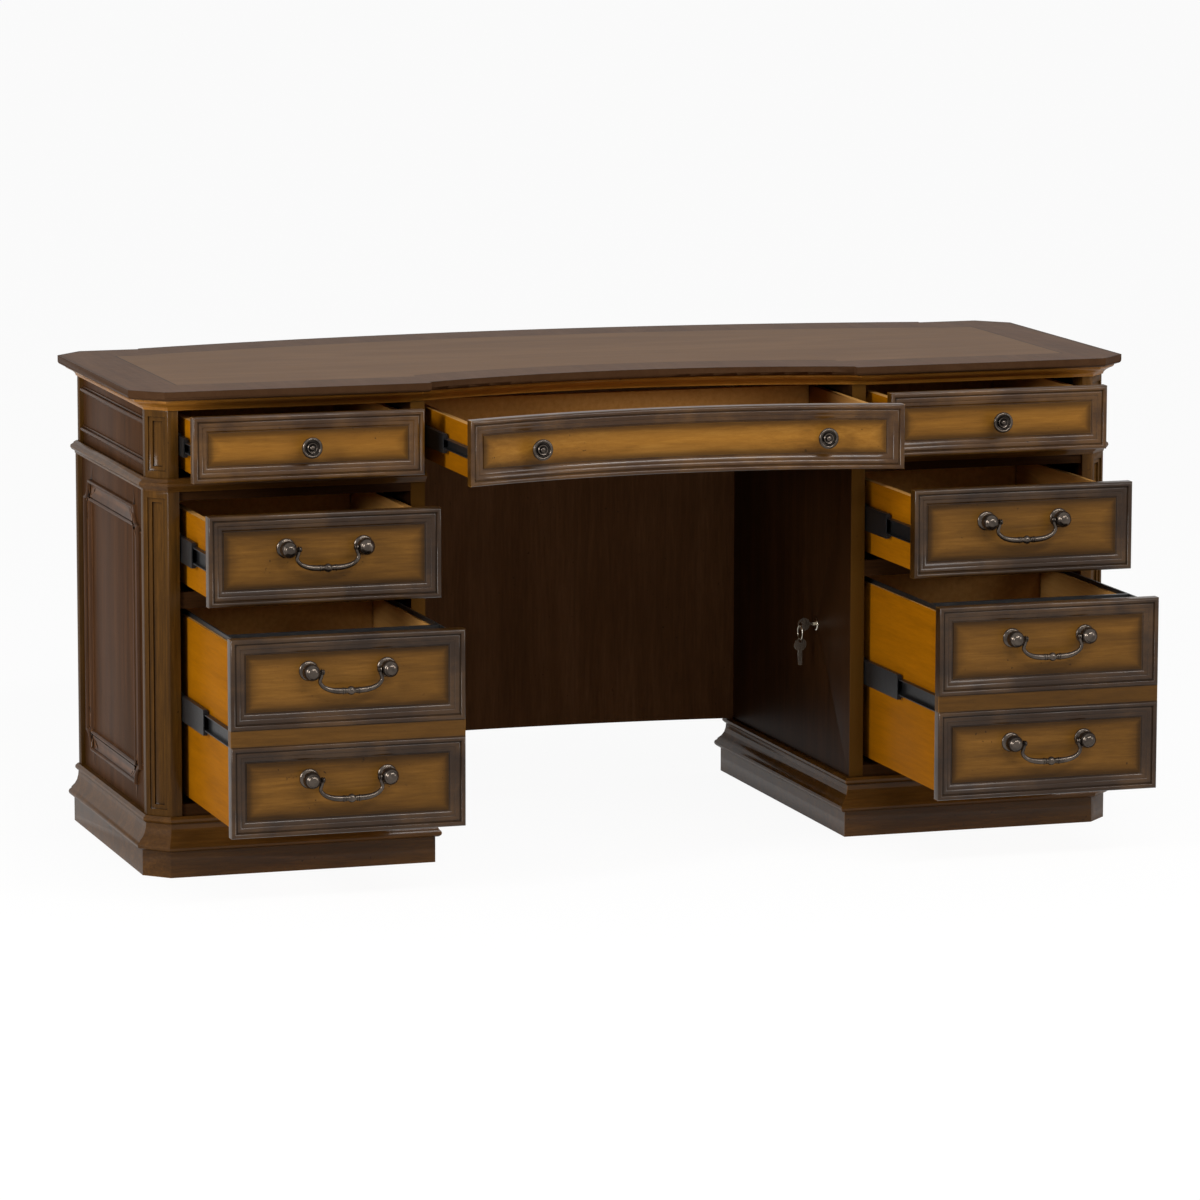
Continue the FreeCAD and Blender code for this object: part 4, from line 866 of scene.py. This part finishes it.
class MakeStage(bpy.types.Operator):
    """Floor, backdrop, lamps and camera"""

    bl_idname = "desk.stage"
    bl_label = "Stage"

    def execute(self, context):
        scene = context.scene
        settings = scene.desk_stage
        scene.view_settings.view_transform = "Standard"
        deselect()
        bpy.ops.mesh.primitive_plane_add(size=40, location=(0, 8, 0))
        floor = bpy.context.active_object
        floor.name = "floor"
        settle(floor)
        f = Finish("paper_floor")
        white = tuple(settings.floor_colour)
        speck = f.noise(30.0, 3.0)
        f.set(base_color=f.mix(speck * 0.02, white, (0.7, 0.7, 0.7)), roughness=0.9)
        glow = f.add("ShaderNodeEmission", {}, {"Color": (1, 1, 1), "Strength": 1.0})
        paper = Value(f, f.shader.outputs[0])
        shown = f.add("ShaderNodeMixShader", {}, {0: seen_rays(f) * PAPER_GLOW, 1: paper, 2: glow})
        f.tree.links.new(shown.socket, f.surface.inputs["Surface"])
        floor.data.materials.append(f.material)
        world = bpy.data.worlds.new("studio")
        scene.world = world
        world.use_nodes = True
        tree = world.node_tree
        tree.nodes.clear()
        path = tree.nodes.new("ShaderNodeLightPath")
        seen = path.outputs["Is Camera Ray"]
        for kind in ("Is Glossy Ray", "Is Transmission Ray"):
            either = tree.nodes.new("ShaderNodeMath")
            either.operation = "MAXIMUM"
            tree.links.new(seen, either.inputs[0])
            tree.links.new(path.outputs[kind], either.inputs[1])
            seen = either.outputs[0]
        strength = tree.nodes.new("ShaderNodeMapRange")
        strength.inputs[3].default_value = SKY_LIGHT
        strength.inputs[4].default_value = 1.0
        tree.links.new(seen, strength.inputs[0])
        back = tree.nodes.new("ShaderNodeBackground")
        back.inputs["Color"].default_value = (1, 1, 1, 1)
        tree.links.new(strength.outputs[0], back.inputs["Strength"])
        out = tree.nodes.new("ShaderNodeOutputWorld")
        tree.links.new(back.outputs[0], out.inputs["Surface"])
        for name, place, wide, deep, share in LAMPS:
            bpy.ops.object.light_add(type="AREA", location=place)
            lamp = bpy.context.active_object
            lamp.name = "lamp_" + name
            lamp.data.shape = "RECTANGLE"
            lamp.data.size = wide
            lamp.data.size_y = deep
            lamp.data.energy = settings.lamp_power * share
            lamp.rotation_euler = (LAMPS_AIM - Vector(place)).to_track_quat("-Z", "Y").to_euler()
        bpy.ops.object.camera_add(location=CAMERA_PLACE)
        camera = bpy.context.active_object
        camera.data.lens = settings.lens
        camera.data.sensor_width = 36
        camera.data.clip_end = 60
        camera.rotation_euler = Euler((math.radians(90 - CAMERA_TILT), 0, math.radians(-CAMERA_TURN)))
        camera.rotation_euler.rotate_axis("Z", math.radians(CAMERA_ROLL))
        scene.camera = camera
        return {"FINISHED"}


class MakeTop(bpy.types.Operator):
    """Top panel and the moulded board under it"""

    bl_idname = "desk.top"
    bl_label = "Top"

    def execute(self, context):
        veneer = finish("top_veneer", lambda name: top_wood(name, tones("veneer"), tones("border")))
        carved("top_panel", veneer)
        carved("top_moulding", stained("cornice", "X", polish=0.25))
        return {"FINISHED"}


class MakeCase(bpy.types.Operator):
    """Posts, panels, rails, mouldings and plinths"""

    bl_idname = "desk.case"
    bl_label = "Case"

    def execute(self, context):
        for node in ("upper_case_panels", "pedestal_side_panels", "pedestal_back_panels"):
            carved(node, stained("case", "Z"), EASE)
        carved("corner_posts", stained("post", "Z", polish=0.12), EASE)
        # Boards inside the kneehole and the pedestals take the kneehole tones as painted shade, with their
        # front edges in the posts' tone.
        for node in ("pedestal_inner_sides", "drawer_dividers"):
            paint = faced(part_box(node)[0].y + EASE)
            edged = finish(node + "_wood", lambda name: wood(name, tones("deep"), "Z", paint=paint))
            carved(node, edged, EASE)
        carved("modesty_panel", stained("modesty", "Z", glaze=0.4), EASE)
        # The rails, decks and floors inside the pedestals take the kneehole tones as painted shade.
        for node in ("drawer_rails", "drawer_decks", "pedestal_floors"):
            carved(node, stained("deep", "X"), EASE)
        for node in ("waist_mouldings", "plinths"):
            carved(node, stained("moulding", "X", polish=0.25))
        side_mouldings(finish("side_wood", lambda name: wood(name, tones("case"), "Z", polish=0.16)))
        return {"FINISHED"}


class MakeDrawers(bpy.types.Operator):
    """Fronts, boxes and metal slides"""

    bl_idname = "desk.drawers"
    bl_label = "Drawers"

    def execute(self, context):
        colour = tuple(context.scene.desk_metal.slide_black)
        black = finish("slide_black", lambda name: enamel(name, colour, 0.32, tone(70, 68, 66)))
        for node in sorted(NODES):
            if node.startswith("front_"):
                drawer_front(node, front_finish(node))
            elif node.startswith("box_"):
                carved(node, box_finish(node), BOX_EASE)
            elif "runners" in node:
                carved(node, black)
        return {"FINISHED"}


class MakeHardware(bpy.types.Operator):
    """Bail pulls, knobs, the lock and its keys"""

    bl_idname = "desk.hardware"
    bl_label = "Hardware"

    def execute(self, context):
        metals = context.scene.desk_metal
        deep, worn = tuple(metals.pewter_deep), tuple(metals.pewter_worn)
        pewter = finish("pewter", lambda name: metal(name, deep, worn, 0.2))
        plate = tuple(metals.nickel_deep), tuple(metals.nickel_worn)
        nickel = finish("nickel", lambda name: metal(name, *plate, 0.2, 0.8, 0.03, 1.0))
        for node in sorted(NODES):
            if node.startswith("bail_"):
                bail_pull(node, pewter)
            elif node.startswith("pull_posts_"):
                heads(node, POST_HEAD, pewter)
            elif node.startswith("knob"):
                heads(node, KNOB_HEAD, pewter)
            elif node in ("lock_cylinder", "lock_key", "spare_key"):
                carved(node, nickel)
        return {"FINISHED"}


class DeskPanel(bpy.types.Panel):
    """Lists the desk's operators"""

    bl_idname = "DESK_PT_make"
    bl_label = "Desk"
    bl_space_type = "VIEW_3D"
    bl_region_type = "UI"
    bl_category = "Desk"

    def draw(self, context):
        for maker in MAKERS:
            self.layout.operator(maker.bl_idname)
        for group in (context.scene.desk_wood, context.scene.desk_metal, context.scene.desk_stage):
            box = self.layout.box()
            for name in group.bl_rna.properties.keys():
                if name not in ("name", "rna_type"):
                    box.prop(group, name)


MAKERS = [MakeStage, MakeTop, MakeCase, MakeDrawers, MakeHardware]
GROUPS = {"desk_stage": DeskStage, "desk_wood": DeskWood, "desk_metal": DeskMetal}
CLASSES = [*GROUPS.values(), *MAKERS, DeskPanel]


def register():
    for kind in CLASSES:
        bpy.utils.register_class(kind)
    for name, group in GROUPS.items():
        setattr(bpy.types.Scene, name, PointerProperty(type=group))


def unregister():
    for name in GROUPS:
        delattr(bpy.types.Scene, name)
    for kind in reversed(CLASSES):
        bpy.utils.unregister_class(kind)


def main():
    register()
    bpy.ops.desk.stage()
    bpy.ops.desk.top()
    bpy.ops.desk.case()
    bpy.ops.desk.drawers()
    bpy.ops.desk.hardware()
    deselect()


if __name__ == "__main__":
    main()
